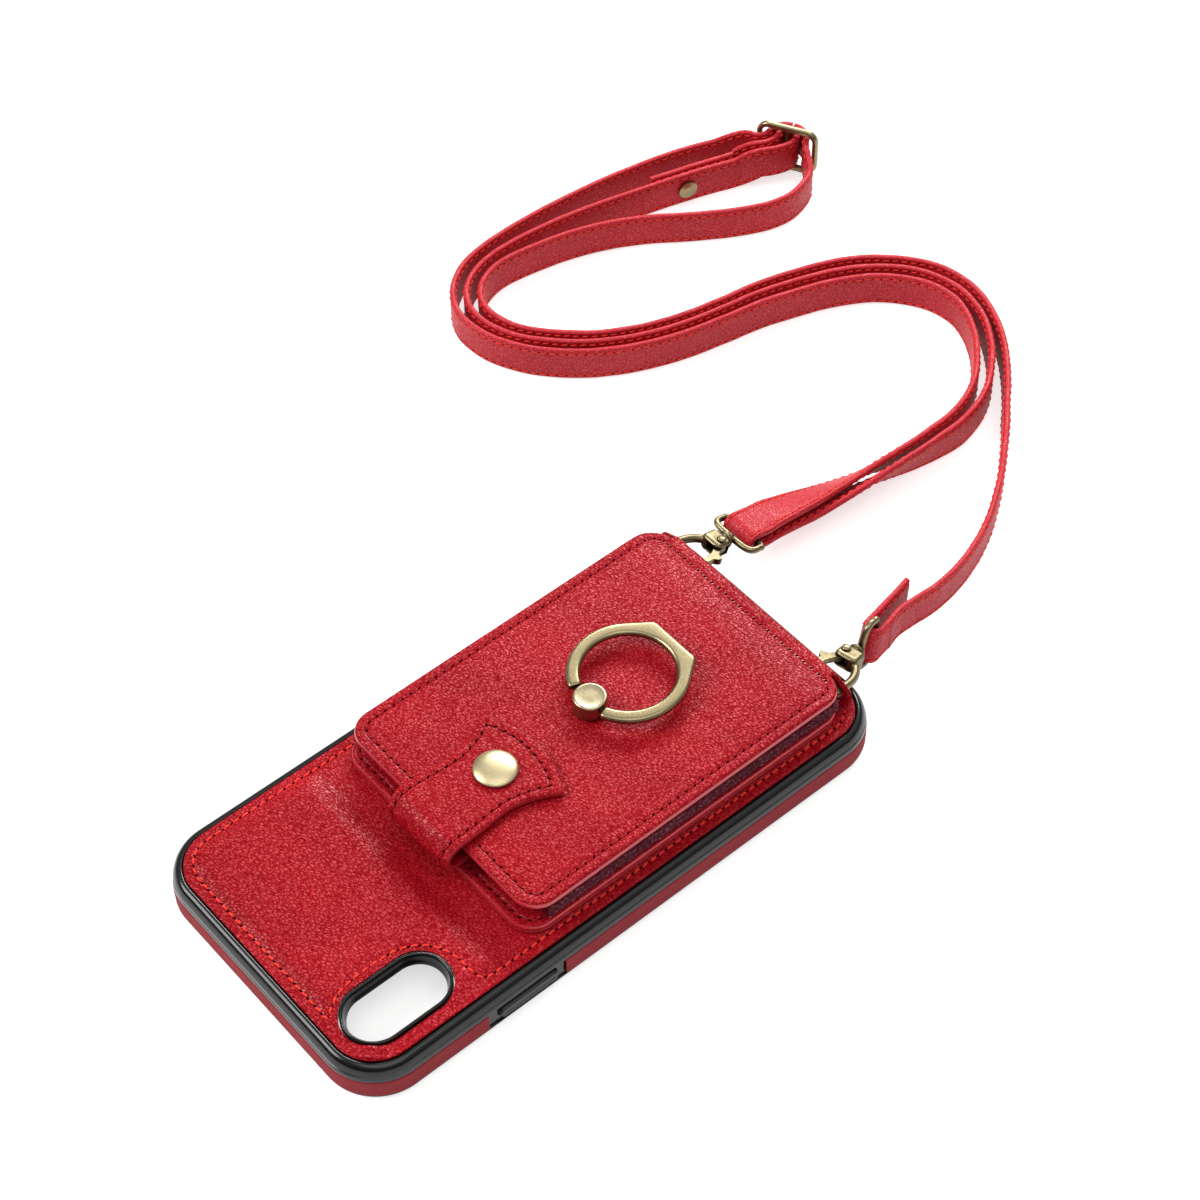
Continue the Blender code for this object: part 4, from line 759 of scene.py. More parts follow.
def strap(name, points, ups, spacing=1.0):
    """One length of strap and its four rows of stitches. ups: a width direction for each point."""
    dense = smooth_path(points, 10)
    width = at(np.asarray(ups, float), np.arange(len(points)), np.linspace(0, len(points) - 1, len(dense)))
    lengths = distances(dense)
    stations = np.linspace(0, lengths[-1], max(8, int(lengths[-1] / spacing)) + 1)
    path = at(dense, lengths, stations)
    skin, sides, ups = sweep(path, unit(at(width, lengths, stations)), STRAP_SECTION)
    around = distances(STRAP_SECTION)
    rest = np.column_stack([np.repeat(stations, len(around)), np.tile(around, len(stations)),
                            np.full(len(around) * len(stations), 3.0 * len(name))])
    # the leather's own unevenness, kept small so that it lies where its route says
    ripple = field(np.column_stack([stations * 0.5, stations * 0, stations * 0]), 0.35, len(name))
    wave = ripple[:, None] * sides * STRAP_RIPPLE
    piece = build(name, skin[0] + np.repeat(wave, len(around), 0), skin[1], RED_STRAP, 50, rest)
    rows = []
    for face in (STRAP_THICKNESS / 2 - STRAP_CHANNEL, STRAP_CHANNEL - STRAP_THICKNESS / 2):
        for row in (STRAP_WIDTH / 2 - STRAP_ROW, STRAP_ROW - STRAP_WIDTH / 2):
            line = path + wave + sides * face + ups * row
            rows.append(stitches(line[1:-1], (sides * np.sign(face))[1:-1], 1.95, 0.21, 0.4,
                                 (0.5, 0.3, 0.05), 0.3))
    threads, holes = zip(*rows)
    return [piece, build(name + "_thread", *join(*threads), BRIGHT_THREAD, 60),
            build(name + "_holes", *join(*holes), HOLE_SHADE, 60)], path


def lean_ups(angles, count):
    """A width direction for each point: 0 degrees stands on edge, 90 lies flat."""
    turns = np.radians([angles[min(place, len(angles) - 1)] for place in range(count)])
    return np.column_stack([np.sin(turns), 0 * turns, np.cos(turns)])


def strap_parts():
    made = {}
    lean = [90.0, 84.0, 70.0, 52.0, 34.0, 18.0, 6.0, 0.0]
    rise_b = [local("left", 0.0, BAIL_V + 3.7, FOLD_RADIUS), (-24.9, 101.0, 10.2), (-24.4, 110.0, 8.2),
              (-23.6, 120.0, 6.6), (-22.6, 131.0, 5.5), (-21.0, 141.0, STRAP_Z)]
    rise_c = [local("left", 0.0, BAIL_V + 4.2, -FOLD_RADIUS), (-24.4, 101.0, 6.4), (-22.8, 110.0, 5.3),
              (-21.0, 120.0, 5.1), (-19.2, 131.0, 5.1), (-17.6, 141.0, STRAP_Z)]
    rise_a = [local("right", FOLD_RADIUS, BAIL_V + 4.0, 0.88)]
    heights = [9.4, 7.4, 6.0] + [STRAP_Z] * (len(RUN_A) - 3)
    end_b = ((-11.6, -3.4), (-8.0, -3.1), (-5.9, -1.6), (-5.4, 0.2), (-4.6, 2.2), (-2.6, 3.9), (0.0, 4.5))
    end_c = ((-5.6, -9.6), (-1.4, -6.6), (1.6, -3.6), (2.5, -1.4))
    end_a = ((6.0, -1.9), (5.5, 0.2), (4.8, 2.2), (2.9, 3.9), (0.6, 4.5))
    for key, rise, run, end, angles in (("b", rise_b, [(*p, STRAP_Z) for p in RUN_B], end_b, lean),
                                        ("c", rise_c, [(*p, STRAP_Z) for p in RUN_C], end_c, lean),
                                        ("a", rise_a, [(*p, z) for p, z in zip(RUN_A, heights)], end_a,
                                         [0.0])):
        route = rise + run + [slider_point(*p) for p in end]
        made[f"run_{key}"] = strap(f"strap_{key}", route, lean_ups(angles, len(route)))

    radius = math.hypot(1.0, 1.0) + GAP + STRAP_THICKNESS / 2
    bends = [math.radians(degrees) for degrees in (0, 36, 72, 108, 144, 180)]
    round_bar = [(radius, -0.8)] + [(radius * math.cos(t), radius * math.sin(t)) for t in bends]
    tail = [slider_point(*p) for p in round_bar + [(-2.7, -1.8), (-4.6, -4.9), (-8.4, -7.6)]]
    tail += [(-131.2, 184.0, STRAP_Z), (-134.5, 173.4, STRAP_Z), (-136.4, 166.8, STRAP_Z),
             (-138.6, 159.0, STRAP_Z)]
    made["tail"] = strap("strap_tail_end", tail, lean_ups([0.0], len(tail)), 0.6)

    turns = [math.radians(degrees) for degrees in (90, 112, 135, 158, 180, 202, 225, 248, 270)]
    turn = [(FOLD_RADIUS * math.cos(t), FOLD_RADIUS * math.sin(t)) for t in turns]
    fold = [(3.66, FOLD_RADIUS), (1.8, FOLD_RADIUS)] + turn + [(1.8, -FOLD_RADIUS), (4.16, -FOLD_RADIUS)]
    path = [local("left", 0.0, BAIL_V + along, up) for along, up in fold]
    made["fold_left"] = strap("strap_loop_left", path, [(1, 0, 0)] * len(path), 0.35)
    fold = [(18.0, -2.3), (11.0, -2.1), (5.0, -FOLD_RADIUS)]
    fold += [(along, -across) for along, across in turn] + [(1.8, FOLD_RADIUS), (3.96, FOLD_RADIUS)]
    path = [local("right", across, BAIL_V + along, 0.22 * max(along, 0.0)) for along, across in fold]
    up = Vector(local("right", 0, 0, 1)) - Vector(local("right", 0, 0, 0))
    made["fold_right"] = strap("strap_loop_right", path, [up] * len(path), 0.4)
    return made


def slider_piece():
    """The slider: a cast loop with a centre bar, standing on edge across the strap."""
    outline = rounded(8.3, 6.8, 2.9, 10, (6, 4))
    path = np.column_stack([outline[:, 0], 0 * outline[:, 0], outline[:, 1]])
    wire = circle(1.0) * (0.86, 0.98)
    wire = np.sign(wire) * np.abs(wire) ** 0.8 * (0.9 ** 0.2, 1.0)
    loop = build("strap_slider_loop", *sweep(path, (0, 1, 0), wire, True)[0], BRASS)
    spine = [(0, 0, z) for z in np.linspace(-6.6, 6.6, 12)]
    cast(loop, [build("slider_bar", *sweep(spine, (0, 1, 0), circle(0.93))[0], BRASS)], 0.16, BRASS)
    loop.data.transform(Matrix.Translation(Vector((*SLIDER_CENTRE, SLIDER_STRAP_Z)) * MM)
                        @ Matrix.Rotation(math.radians(SLIDER_ANGLE), 4, "Z"))
    return loop


def rivet_pieces():
    face = STRAP_THICKNESS / 2 + 0.22
    far = -TAIL_OFFSET - face
    cap = [(far, 0.8), (face - 0.05, 0.8), (face - 0.05, 2.7), (face + 0.15, 2.8), (face + 0.4, 2.78),
           (face + 0.52, 2.6), (face + 0.56, 2.35), (face + 0.62, 2.1), (face + 0.82, 1.5),
           (face + 0.92, 0.8), (face + 0.96, 0.15)]
    front = build("strap_rivet_dome", *bar(STRAP_RIVET_AT, STRAP_RIVET_NORMAL, cap, 48), BRASS)
    back = [(far - 0.05, 2.2), (far - 0.3, 2.3), (far - 0.55, 2.25), (far - 0.75, 1.9), (far - 0.85, 0.9)]
    rear = build("strap_rivet_button", *bar(STRAP_RIVET_AT, STRAP_RIVET_NORMAL, back, 48), BRASS)
    return front, rear


def declare_strap():
    made = strap_parts()
    slider = slider_piece()
    front, rear = rivet_pieces()
    for piece, node in ((slider, "strap_slider"), (front, "strap_rivet_cap"), (rear, "strap_rivet_back")):
        dress(piece, "case", "brass", node)
    for key in ("run_a", "run_b", "run_c", "tail"):
        pieces, _ = made[key]
        dress(pieces[0], "case", "red_leather", f"strap_{key}")
        for sewn in pieces[1:]:
            dress(sewn, "case", "red_leather")
    for side in ("left", "right"):
        bend(made[f"fold_{side}"][0],
             f"strap_fold_{side}")
    for key, end, metal in (("run_b", "fold_left", []), ("run_c", "tail", [slider, front, rear]),
                            ("run_a", "fold_right", [])):
        pieces, path = made[key]


declare_strap()


# ---------------------------------------------------------------- bumper
END_STRAIGHT = CASE_HALF_WIDTH - CASE_CORNER
SIDE_STRAIGHT = CASE_HALF_LENGTH - CASE_CORNER
CORNER_ARC = math.pi / 2 * CASE_CORNER
BAND_BOTTOM, BAND_TOP = 1.3, 6.8
BUTTON_Z, BUTTON_HALF_HEIGHT = 4.4, 1.6
POWER_Y, POWER_HALF = -32.7, 8.3
VOLUME_HALF, VOLUME_UP_Y, VOLUME_DOWN_Y = 4.6, -37.0, -25.4
MUTE_Y, MUTE_HALF, MUTE_HALF_HEIGHT = -52.0, 5.2, 2.6
PORT_HALF, PORT_HALF_HEIGHT, PORT_Z = 22.0, 3.1, 4.9


def slot_cutter(centre, half_a, half_b, radius, depth, flare):
    """A rounded bar through a side wall, or the far end's, flared where it comes out."""
    rings = []
    for reach, grow in ((-depth, 0.0), (-0.25, 0.0), (0.0, flare * 0.5), (0.3, flare), (depth, flare)):
        a, b = rounded(half_a + grow, half_b + grow, radius + grow, 8).T
        out = np.full(len(a), reach)
        side = np.sign(centre[0])
        rings.append(np.column_stack([side * out, a, b] if side else [-a, out, b]) + centre)
    return build("cut_slot", *loft(rings), BLACK)


def pill_cutter():
    """A bar through the camera window."""
    rings = stack([(-GAP, 5.0), (-GAP, 20.0)], *WINDOW_HALF, WINDOW_HALF[0] - 0.01, WINDOW, 28, (1, 3))
    return build("cut_window", *loft(rings), BLACK)


def bumper_piece():
    profile = [
        (2.82, 9.95), (2.66, 10.6), (2.6, 10.92), (2.5, 11.1), (2.36, 11.17), (2.15, 11.19), (1.85, 11.12),
        (1.45, 10.93), (1.1, 10.62), (0.8, 10.22), (0.55, 9.7), (0.36, 9.15), (0.26, 8.75), (0.42, 8.62),
        (0.42, 8.5), (0.16, 8.36), (0.06, 7.95), (0.0, 7.4), (0.02, 6.98), (0.16, 6.82), (0.34, 6.8),
        (0.55, 6.78), (0.55, 1.32), (0.34, 1.3), (0.16, 1.22), (0.12, 1.0), (0.2, 0.7), (0.4, 0.38),
        (0.72, 0.12), (1.1, 0.02), (1.6, 0.0), (3.9, 0.0), (4.18, 0.06), (4.32, 0.25), (4.35, 0.5),
        (4.3, 0.72), (4.1, 0.8), (3.1, 0.84), (2.75, 1.0), (2.65, 1.3), (2.65, 5.0), (2.65, 8.5),
        (2.85, 9.0), (3.3, 9.2),
    ]
    rings = stack(profile, CASE_HALF_WIDTH, CASE_HALF_LENGTH, CASE_CORNER, steps=28, straight=(10, 24))
    bumper = build("bumper_shell", *loft(rings), BLACK)
    slot = BUTTON_HALF_HEIGHT + GAP
    wall = CASE_HALF_WIDTH - 0.2
    cutters = [pill_cutter()]
    for x, y, half, height in ((wall, POWER_Y, POWER_HALF + GAP, slot),
                               (-wall, VOLUME_UP_Y, VOLUME_HALF + GAP, slot),
                               (-wall, VOLUME_DOWN_Y, VOLUME_HALF + GAP, slot),
                               (-wall, MUTE_Y, MUTE_HALF, MUTE_HALF_HEIGHT)):
        cutters.append(slot_cutter((x, y, BUTTON_Z), half, height, slot - 0.05, 3.0, 0.25))
    cutters.append(slot_cutter((0.0, CASE_HALF_LENGTH - 0.2, PORT_Z), PORT_HALF, PORT_HALF_HEIGHT,
                               PORT_HALF_HEIGHT - 0.05, 3.4, 0.3))
    cut(bumper, cutters, BLACK, 30)
    relay(bumper)
    dress(bumper, "case", "black_bumper", "bumper_frame")


def button_pieces():
    profile = [(0.0, 38.35), (0.0, 40.5), (0.03, 40.8), (0.14, 41.02), (0.34, 41.14), (0.62, 41.17),
               (0.95, 41.13), (1.2, 41.05), (1.35, 41.02)]
    for key, side, y, half in (("power", 1, POWER_Y, POWER_HALF), ("volume_up", -1, VOLUME_UP_Y, VOLUME_HALF),
                               ("volume_down", -1, VOLUME_DOWN_Y, VOLUME_HALF)):
        rings = []
        for inset, x in profile:
            half_height = BUTTON_HALF_HEIGHT - inset
            a, b = rounded(half - inset, half_height, half_height - 0.01, 12, (8, 1)).T
            rings.append(np.column_stack([np.full(len(a), side * x), y + a, BUTTON_Z + b]))
        dress(build(f"{key}_key", *loft(rings), BLACK_MATTE), f"{key}_button", "black_bumper",
              f"{key}_button")


def side_distance(y):
    """Distance along the outline from the camera end's middle to a place on the side."""
    return END_STRAIGHT + CORNER_ARC + y + SIDE_STRAIGHT


def outline_point(distance):
    """Point and outward normal on the bumper's outline, a signed distance from the camera end's middle."""
    sign = 1 if distance >= 0 else -1
    after = abs(distance) - END_STRAIGHT
    beyond = after - CORNER_ARC - 2 * SIDE_STRAIGHT
    angle = (np.clip(after, 0, CORNER_ARC) + np.clip(beyond, 0, CORNER_ARC)) / CASE_CORNER - math.pi / 2
    x = END_STRAIGHT + min(after, 0) - max(beyond - CORNER_ARC, 0)
    y = np.clip(after - CORNER_ARC, 0, 2 * SIDE_STRAIGHT) - SIDE_STRAIGHT
    normal = np.array((sign * math.cos(angle), math.sin(angle), 0.0))
    return np.array((sign * x, y, 0.0)) + CASE_CORNER * normal, normal


def band_pieces():
    port = side_distance(SIDE_STRAIGHT) + CORNER_ARC + END_STRAIGHT - PORT_HALF - 1.6
    spans = {
        "side_band_camera_end": (-side_distance(MUTE_Y - MUTE_HALF - 1.2), side_distance(-44.0)),
        "side_band_power_side": (side_distance(-21.9), port),
        "side_band_volume_side": (-port, -side_distance(VOLUME_DOWN_Y + VOLUME_HALF + 2.4)),
    }
    low, high = BAND_BOTTOM + 0.12, BAND_TOP - 0.12
    for name, (start, end) in spans.items():
        start, end = start + 0.05, end - 0.05
        rings, rests = [], []
        for where in np.linspace(start, end, int((end - start) / 0.9) + 1):
            place, normal = outline_point(where)
            soft = min(1.0, 0.4 + min(where - start, end - where) / 0.8)
            section = [(-0.25, low + 0.05), (-0.05, low), (0.06, low + 0.1), (0.12 * soft, low + 0.34)]
            section += [(0.13 * soft + 0.02 * math.sin(z * 2.1 + where * 0.3), z)
                        for z in np.linspace(low + 0.7, high - 0.7, 7)]
            section += [(0.12 * soft, high - 0.34), (0.06, high - 0.1), (-0.05, high), (-0.25, high - 0.05)]
            rings.append([place + normal * offset + (0, 0, z) for offset, z in section])
            rests += [(where, z, offset) for offset, z in section]
        dress(build(name.replace("side_band", "cloth_band"), *loft(rings), BAND, 50, rests), "case",
              "band_cloth", name)


# ---------------------------------------------------------------- back
PANEL_BOTTOM = 10.9
PANEL_TOP = 11.6
PANEL_HALF = (37.7, 75.3)
PANEL_CORNER = 10.75
PANEL_ROW = 2.5
PAD_HEIGHT, PAD_END_Y, PAD_BLEND = 1.5, -33.0, 7.0


def pill_distance(x, y):
    """Distance outside the camera window's outline."""
    reach = np.maximum(np.abs(y - WINDOW[1]) - (WINDOW_HALF[1] - WINDOW_HALF[0]), 0)
    return np.hypot(x - WINDOW[0], reach) - WINDOW_HALF[0]


def pad_rise(x, y):
    lengthwise = ease(PAD_END_Y - y, 0.0, PAD_BLEND)
    edge = np.minimum(37.95 - np.abs(x), 75.55 - np.abs(y))
    return PAD_HEIGHT * lengthwise * ease(edge, 0.8, 6.8)


def row_dip(depth, row, gauge=0.3, width=0.5, roll=0.22):
    """The channel that a row of stitches pulls into the leather, with the roll of the edge beside it."""
    return roll * ease(depth, row + 0.2, row + 2.2) - gauge * np.exp(-((depth - row) / width) ** 2)


def quilting(x, y, seed, amount):
    """Slow unevenness of leather over its backing."""
    return amount * field(np.column_stack([x, y, np.zeros(len(x))]), 0.11, seed)


WINDOW_SEAM = [(19.6, -73.0), (20.4, -72.5), (19.3, -70.6), (17.9, -68.0), (17.0, -65.0), (16.6, -61.5),
               (16.6, -55.0), (17.0, -51.5), (18.3, -47.8), (20.9, -44.7), (24.4, -42.7), (28.0, -41.9),
               (31.6, -41.8), (34.2, -41.0), (35.2, -39.2)]


def panel_seam():
    """The seam runs in from the panel's edge, but passes the camera window on its inner side."""
    outline = rounded(PANEL_HALF[0] - PANEL_ROW, PANEL_HALF[1] - PANEL_ROW, PANEL_CORNER - PANEL_ROW, 24,
                      (60, 120))
    keep = (outline[:, 0] < 18.6) | (outline[:, 1] > -38.2)
    first = int(np.argmin(np.abs(outline[:, 1] + 38.0) + 100 * (outline[:, 0] < 30)))
    rolled = np.roll(outline, -first, 0)
    rolled = rolled[np.roll(keep, -first)]
    return np.vstack([rolled, smooth_path(WINDOW_SEAM, 6)])


PANEL_SEAM = panel_seam()


def seam_distance(x, y, seam):
    best = np.full(len(x), 99.0)
    points = np.vstack([seam, seam[:1]])
    for here, there in zip(points, points[1:]):
        run = there - here
        t = np.clip(((x - here[0]) * run[0] + (y - here[1]) * run[1]) / max(run @ run, 1e-9), 0, 1)
        best = np.minimum(best, np.hypot(x - here[0] - t * run[0], y - here[1] - t * run[1]))
    return best


def panel_top(x, y):
    x, y = np.asarray(x, float), np.asarray(y, float)
    rise = pad_rise(x, y)
    dip = -0.3 * np.exp(-(seam_distance(x, y, PANEL_SEAM) / 0.5) ** 2)
    window = pill_distance(x, y)
    pull = -0.5 * (1 - ease(window, 0.2, 1.4)) - 0.22 * (1 - ease(window, 1.2, 4.5))
    angle = np.arctan2(y - WINDOW[1], x - WINDOW[0])
    pucker = 0.07 * np.sin(angle * 26 + 2.0 * np.sin(angle * 5)) * np.exp(-((window - 1.7) / 0.9) ** 2)
    return PANEL_TOP + rise + dip + pull + pucker + quilting(x, y, 3, 0.06)


def panel_floor(x, y):
    return np.maximum(PANEL_BOTTOM, panel_top(x, y) - 0.6)


def panel_piece():
    edge = [(0.12, PANEL_TOP - 0.03), (0.26, PANEL_TOP - 0.1), (0.36, PANEL_TOP - 0.22),
            (0.4, PANEL_TOP - 0.4), (0.36, PANEL_TOP - 0.6)]
    skin = plate(PANEL_HALF[0] - 0.4, PANEL_HALF[1] - 0.4, PANEL_CORNER - 0.4, (0, 0), panel_top, edge,
                 panel_floor, 26, 5.0, 0.38, 0.7)
    panel = build("back_leather", *skin, RED_PANEL)
    cut(panel, [pill_cutter()], RED_PANEL, 44)
    relay(panel)
    dress(panel, "case", "red_leather", "back_panel")
    sew("back_leather", "case", panel_top, PANEL_SEAM, BRIGHT_THREAD, 0.29, 1.95, (1.0, 0.6, 0.08))


def sew(name, body, top, outline, thread, radius=0.22, length=1.75, hole_size=(1.25, 0.62, 0.1)):
    """A closed row of stitches along a line on a leather plate."""
    x, y = outline.T
    reach = 0.4
    slopes = [(top(x + dx, y + dy) - top(x - dx, y - dy)) / (2 * reach)
              for dx, dy in ((reach, 0), (0, reach))]
    normals = unit(np.column_stack([-0.6 * slopes[0], -0.6 * slopes[1], np.ones(len(x))]))
    rows = stitches(np.column_stack([x, y, top(x, y)]), normals, length, radius, 0.5, hole_size, 0.34, True)
    for kind, row, material in zip(("thread", "holes"), rows, (thread, HOLE_SHADE)):
        dress(build(f"{name}_{kind}", *row, material, 60), body, "red_leather")


def window_rim():
    """The glossy wall round the camera window, chamfered inwards."""
    profile = [(0.0, 9.45), (0.0, 11.9), (0.03, 12.15), (0.12, 12.36), (0.28, 12.47), (0.48, 12.46),
               (0.66, 12.34), (0.8, 12.12), (0.9, 11.7), (1.05, 11.0), (1.2, 10.4), (1.42, 9.9), (1.5, 9.45)]
    rings = stack(profile, *WINDOW_HALF, WINDOW_HALF[0] - 0.01, WINDOW, 32, (1, 3))
    dress(build("window_rim", *loft(rings, loop=True), BLACK), "case", "black_bumper", "camera_window_rim")


def inner_layers():
    """Stiffening boards and foam between the shell and the leather."""
    for name, material in (("back_board", CARD), ("camera_end_foam", FOAM), ("cover_board", CARD)):
        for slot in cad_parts[name].material_slots:
            slot.material = material


# ---------------------------------------------------------------- wallet
WALLET_HALF = 34.4
WALLET_NEAR, WALLET_FAR, WALLET_CORNER = -27.5, 69.6, 6.5
BASE_BOTTOM, BASE_TOP = 11.9, 14.4
COVER_NEAR, COVER_TOP = -26.0, 22.0
LINING_BOTTOM, LINING_TOP = 19.42, 19.8
LEAF_BOTTOM, LEAF_THICKNESS = 15.0, 0.5
GUSSET_X, GUSSET_LOW, GUSSET_HIGH, GUSSET_FOLDS = 32.75, 14.95, 18.85, 6
BASE_CENTRE = (0.0, (WALLET_NEAR + WALLET_FAR) / 2)
BASE_HALF_Y = (WALLET_FAR - WALLET_NEAR) / 2
COVER_CENTRE = (0.0, (COVER_NEAR + WALLET_FAR) / 2)
COVER_HALF_Y = (WALLET_FAR - COVER_NEAR) / 2
COVER_ROW = 2.9
FAR_ROW_SHIFT = 0.45
ROW_CENTRE = (0.0, COVER_CENTRE[1] + FAR_ROW_SHIFT)
ROW_HALF_Y = COVER_HALF_Y + FAR_ROW_SHIFT
BASE_ROW = 2.0


def base_top(x, y):
    depth = depth_inside(x, y, WALLET_HALF, BASE_HALF_Y, WALLET_CORNER, BASE_CENTRE)
    return BASE_TOP - 0.05 + row_dip(depth, BASE_ROW, 0.3, 0.45, -0.05) + quilting(x, y, 5, 0.05)


def far_fall(y):
    """How far the cover has fallen towards the fold of its spine."""
    return 0.7 * (1 - ease(WALLET_FAR - y, 1.0, 9.5))


def cover_top(x, y):
    depth = depth_inside(x, y, WALLET_HALF, COVER_HALF_Y, WALLET_CORNER, COVER_CENTRE)
    row = depth_inside(x, y, WALLET_HALF, ROW_HALF_Y, WALLET_CORNER, ROW_CENTRE)
    body = -0.16 + 0.16 * ease(depth, 4.0, 11.0) - far_fall(y)
    channel = -0.3 * np.exp(-((row - COVER_ROW) / 0.5) ** 2)
    return COVER_TOP + body + channel + quilting(x, y, 8, 0.07)


def base_piece():
    edge = [(0.18, 14.33), (0.36, 14.18), (0.5, 13.95), (0.58, 13.65), (0.6, 13.3), (0.55, 12.95),
            (0.42, 12.75), (0.42, 12.65), (0.55, 12.5), (0.6, 12.3), (0.5, 12.08), (0.25, 11.95)]
    skin = plate(WALLET_HALF - 0.6, BASE_HALF_Y - 0.6, WALLET_CORNER - 0.6, BASE_CENTRE, base_top, edge,
                 BASE_BOTTOM, 22, 5.0, 0.36, 1.4)
    base = build("wallet_base_leather", *skin, RED)
    paint_edges(base, 0.45)
    dress(base, "case", "red_leather", "wallet_base")
    outline = rounded(WALLET_HALF - BASE_ROW, BASE_HALF_Y - BASE_ROW, WALLET_CORNER - BASE_ROW, 16,
                      (40, 60), BASE_CENTRE)
    sew("wallet_base_leather", "case", base_top, outline, THREAD)


def cover_piece():
    edge = [(0.22, 21.78), (0.48, 21.6), (0.68, 21.34), (0.82, 21.02), (0.88, 20.65), (0.88, 20.35),
            (0.8, 20.1), (0.55, 19.93), (0.1, 19.92), (-0.15, 20.2), (-0.2, 20.9)]
    # the side falls with the top, less and less towards its foot; the last three rings are inside
    edge = [(out, lambda x, y, z=z: z - far_fall(y) * max(z - 19.93, 0.0) / 1.91) if place < 8 else (out, z)
            for place, (out, z) in enumerate(edge)]
    skin = plate(WALLET_HALF - 0.9, COVER_HALF_Y - 0.9, WALLET_CORNER - 0.9, COVER_CENTRE, cover_top, edge,
                 lambda x, y: 21.22 - 0.85 * far_fall(y), 24, 6.5, 0.36, 0.85)
    cover = build("cover_leather", *skin, RED)
    paint_edges(cover, 0.45)
    dress(cover, "cover", "red_leather", "wallet_cover")
    outline = rounded(WALLET_HALF - COVER_ROW, ROW_HALF_Y - COVER_ROW, WALLET_CORNER - COVER_ROW, 16,
                      (40, 60), ROW_CENTRE)
    sew("cover_leather", "cover", cover_top, outline, THREAD)

    edge = [(0.08, 19.76), (0.12, 19.65), (0.12, 19.52), (0.06, 19.43)]
    skin = plate(32.58, COVER_HALF_Y - 1.82, 5.1, COVER_CENTRE, lambda x, y: LINING_TOP + 0 * x, edge,
                 lambda x, y: LINING_BOTTOM + 0.05 * field(np.column_stack([x, y, 0 * x]), 0.2, 2), 14, 3,
                 0.8, 2.0)
    dress(build("cover_lining_leather", *skin, LINING), "cover", "dark_leather", "cover_lining")


def gusset_pieces():
    """Accordion sides: thin crinkled leather in six folds, its dark colour partly painted shade under the
    cover.
    """
    for name, side, node in (("gusset_right", 1, "gusset_power_side"),
                             ("gusset_left", -1, "gusset_volume_side")):
        rings, rests = [], []
        for y in np.linspace(-20.9, 67.1, 200):
            section = []
            for fold in np.linspace(0, GUSSET_FOLDS, GUSSET_FOLDS * 6 + 1):
                phase, share = abs((fold % 2) - 1), fold / GUSSET_FOLDS
                x = GUSSET_X + 0.95 * (phase - 0.09 * math.sin(math.tau * phase))
                x += 0.25 * math.sin(math.pi * share)
                x += 0.2 * noise.noise(Vector((y * 0.55, fold * 1.3, side * 4.0)))
                x += 0.09 * noise.noise(Vector((y * 1.6, fold * 2.0, side * 9.0)))
                lift = 0.1 * noise.noise(Vector((y * 0.35, fold * 0.8, 20.0 + side)))
                section.append((x, GUSSET_LOW + (GUSSET_HIGH - GUSSET_LOW) * share + lift))
            skin = [(x + 0.14, z) for x, z in section] + [(x - 0.14, z) for x, z in reversed(section)]
            rings.append([(side * x, y, z) for x, z in skin])
            rests += [(k * 0.3, y, side * 5.0) for k in range(len(skin))]
        bend([build(name, *loft(rings), WINE_AND_SHADE, 70, rests)],
             node)


def leaf_pieces():
    """Card leaves: folded strips with a stitched rim and a pocket lip."""
    for index in range(4):
        bottom, half_y = LEAF_BOTTOM + index, 44.0 - 0.4 * index

        def leaf_top(x, y):
            depth = depth_inside(x, y, 30.4, half_y, 4.0, (0.0, 22.2))
            lip = -0.14 * ease(np.abs(y - 8.0), 0.6, 0.0)
            return bottom + LEAF_THICKNESS + row_dip(depth, 1.6, 0.12, 0.35, 0.03) + lip

        edge = [(0.12, bottom + 0.47), (0.2, bottom + 0.38), (0.22, bottom + 0.27), (0.2, bottom + 0.14),
                (0.1, bottom + 0.04)]
        skin = plate(30.18, half_y - 0.22, 3.8, (0.0, 22.2), leaf_top, edge, bottom + 0.02, 12, 3.5, 0.4, 1.6)
        node = f"card_leaf_{index + 1}"
        dress(build(f"leaf_{index + 1}", *skin, WINE_AND_SHADE), node, "dark_leather", node)


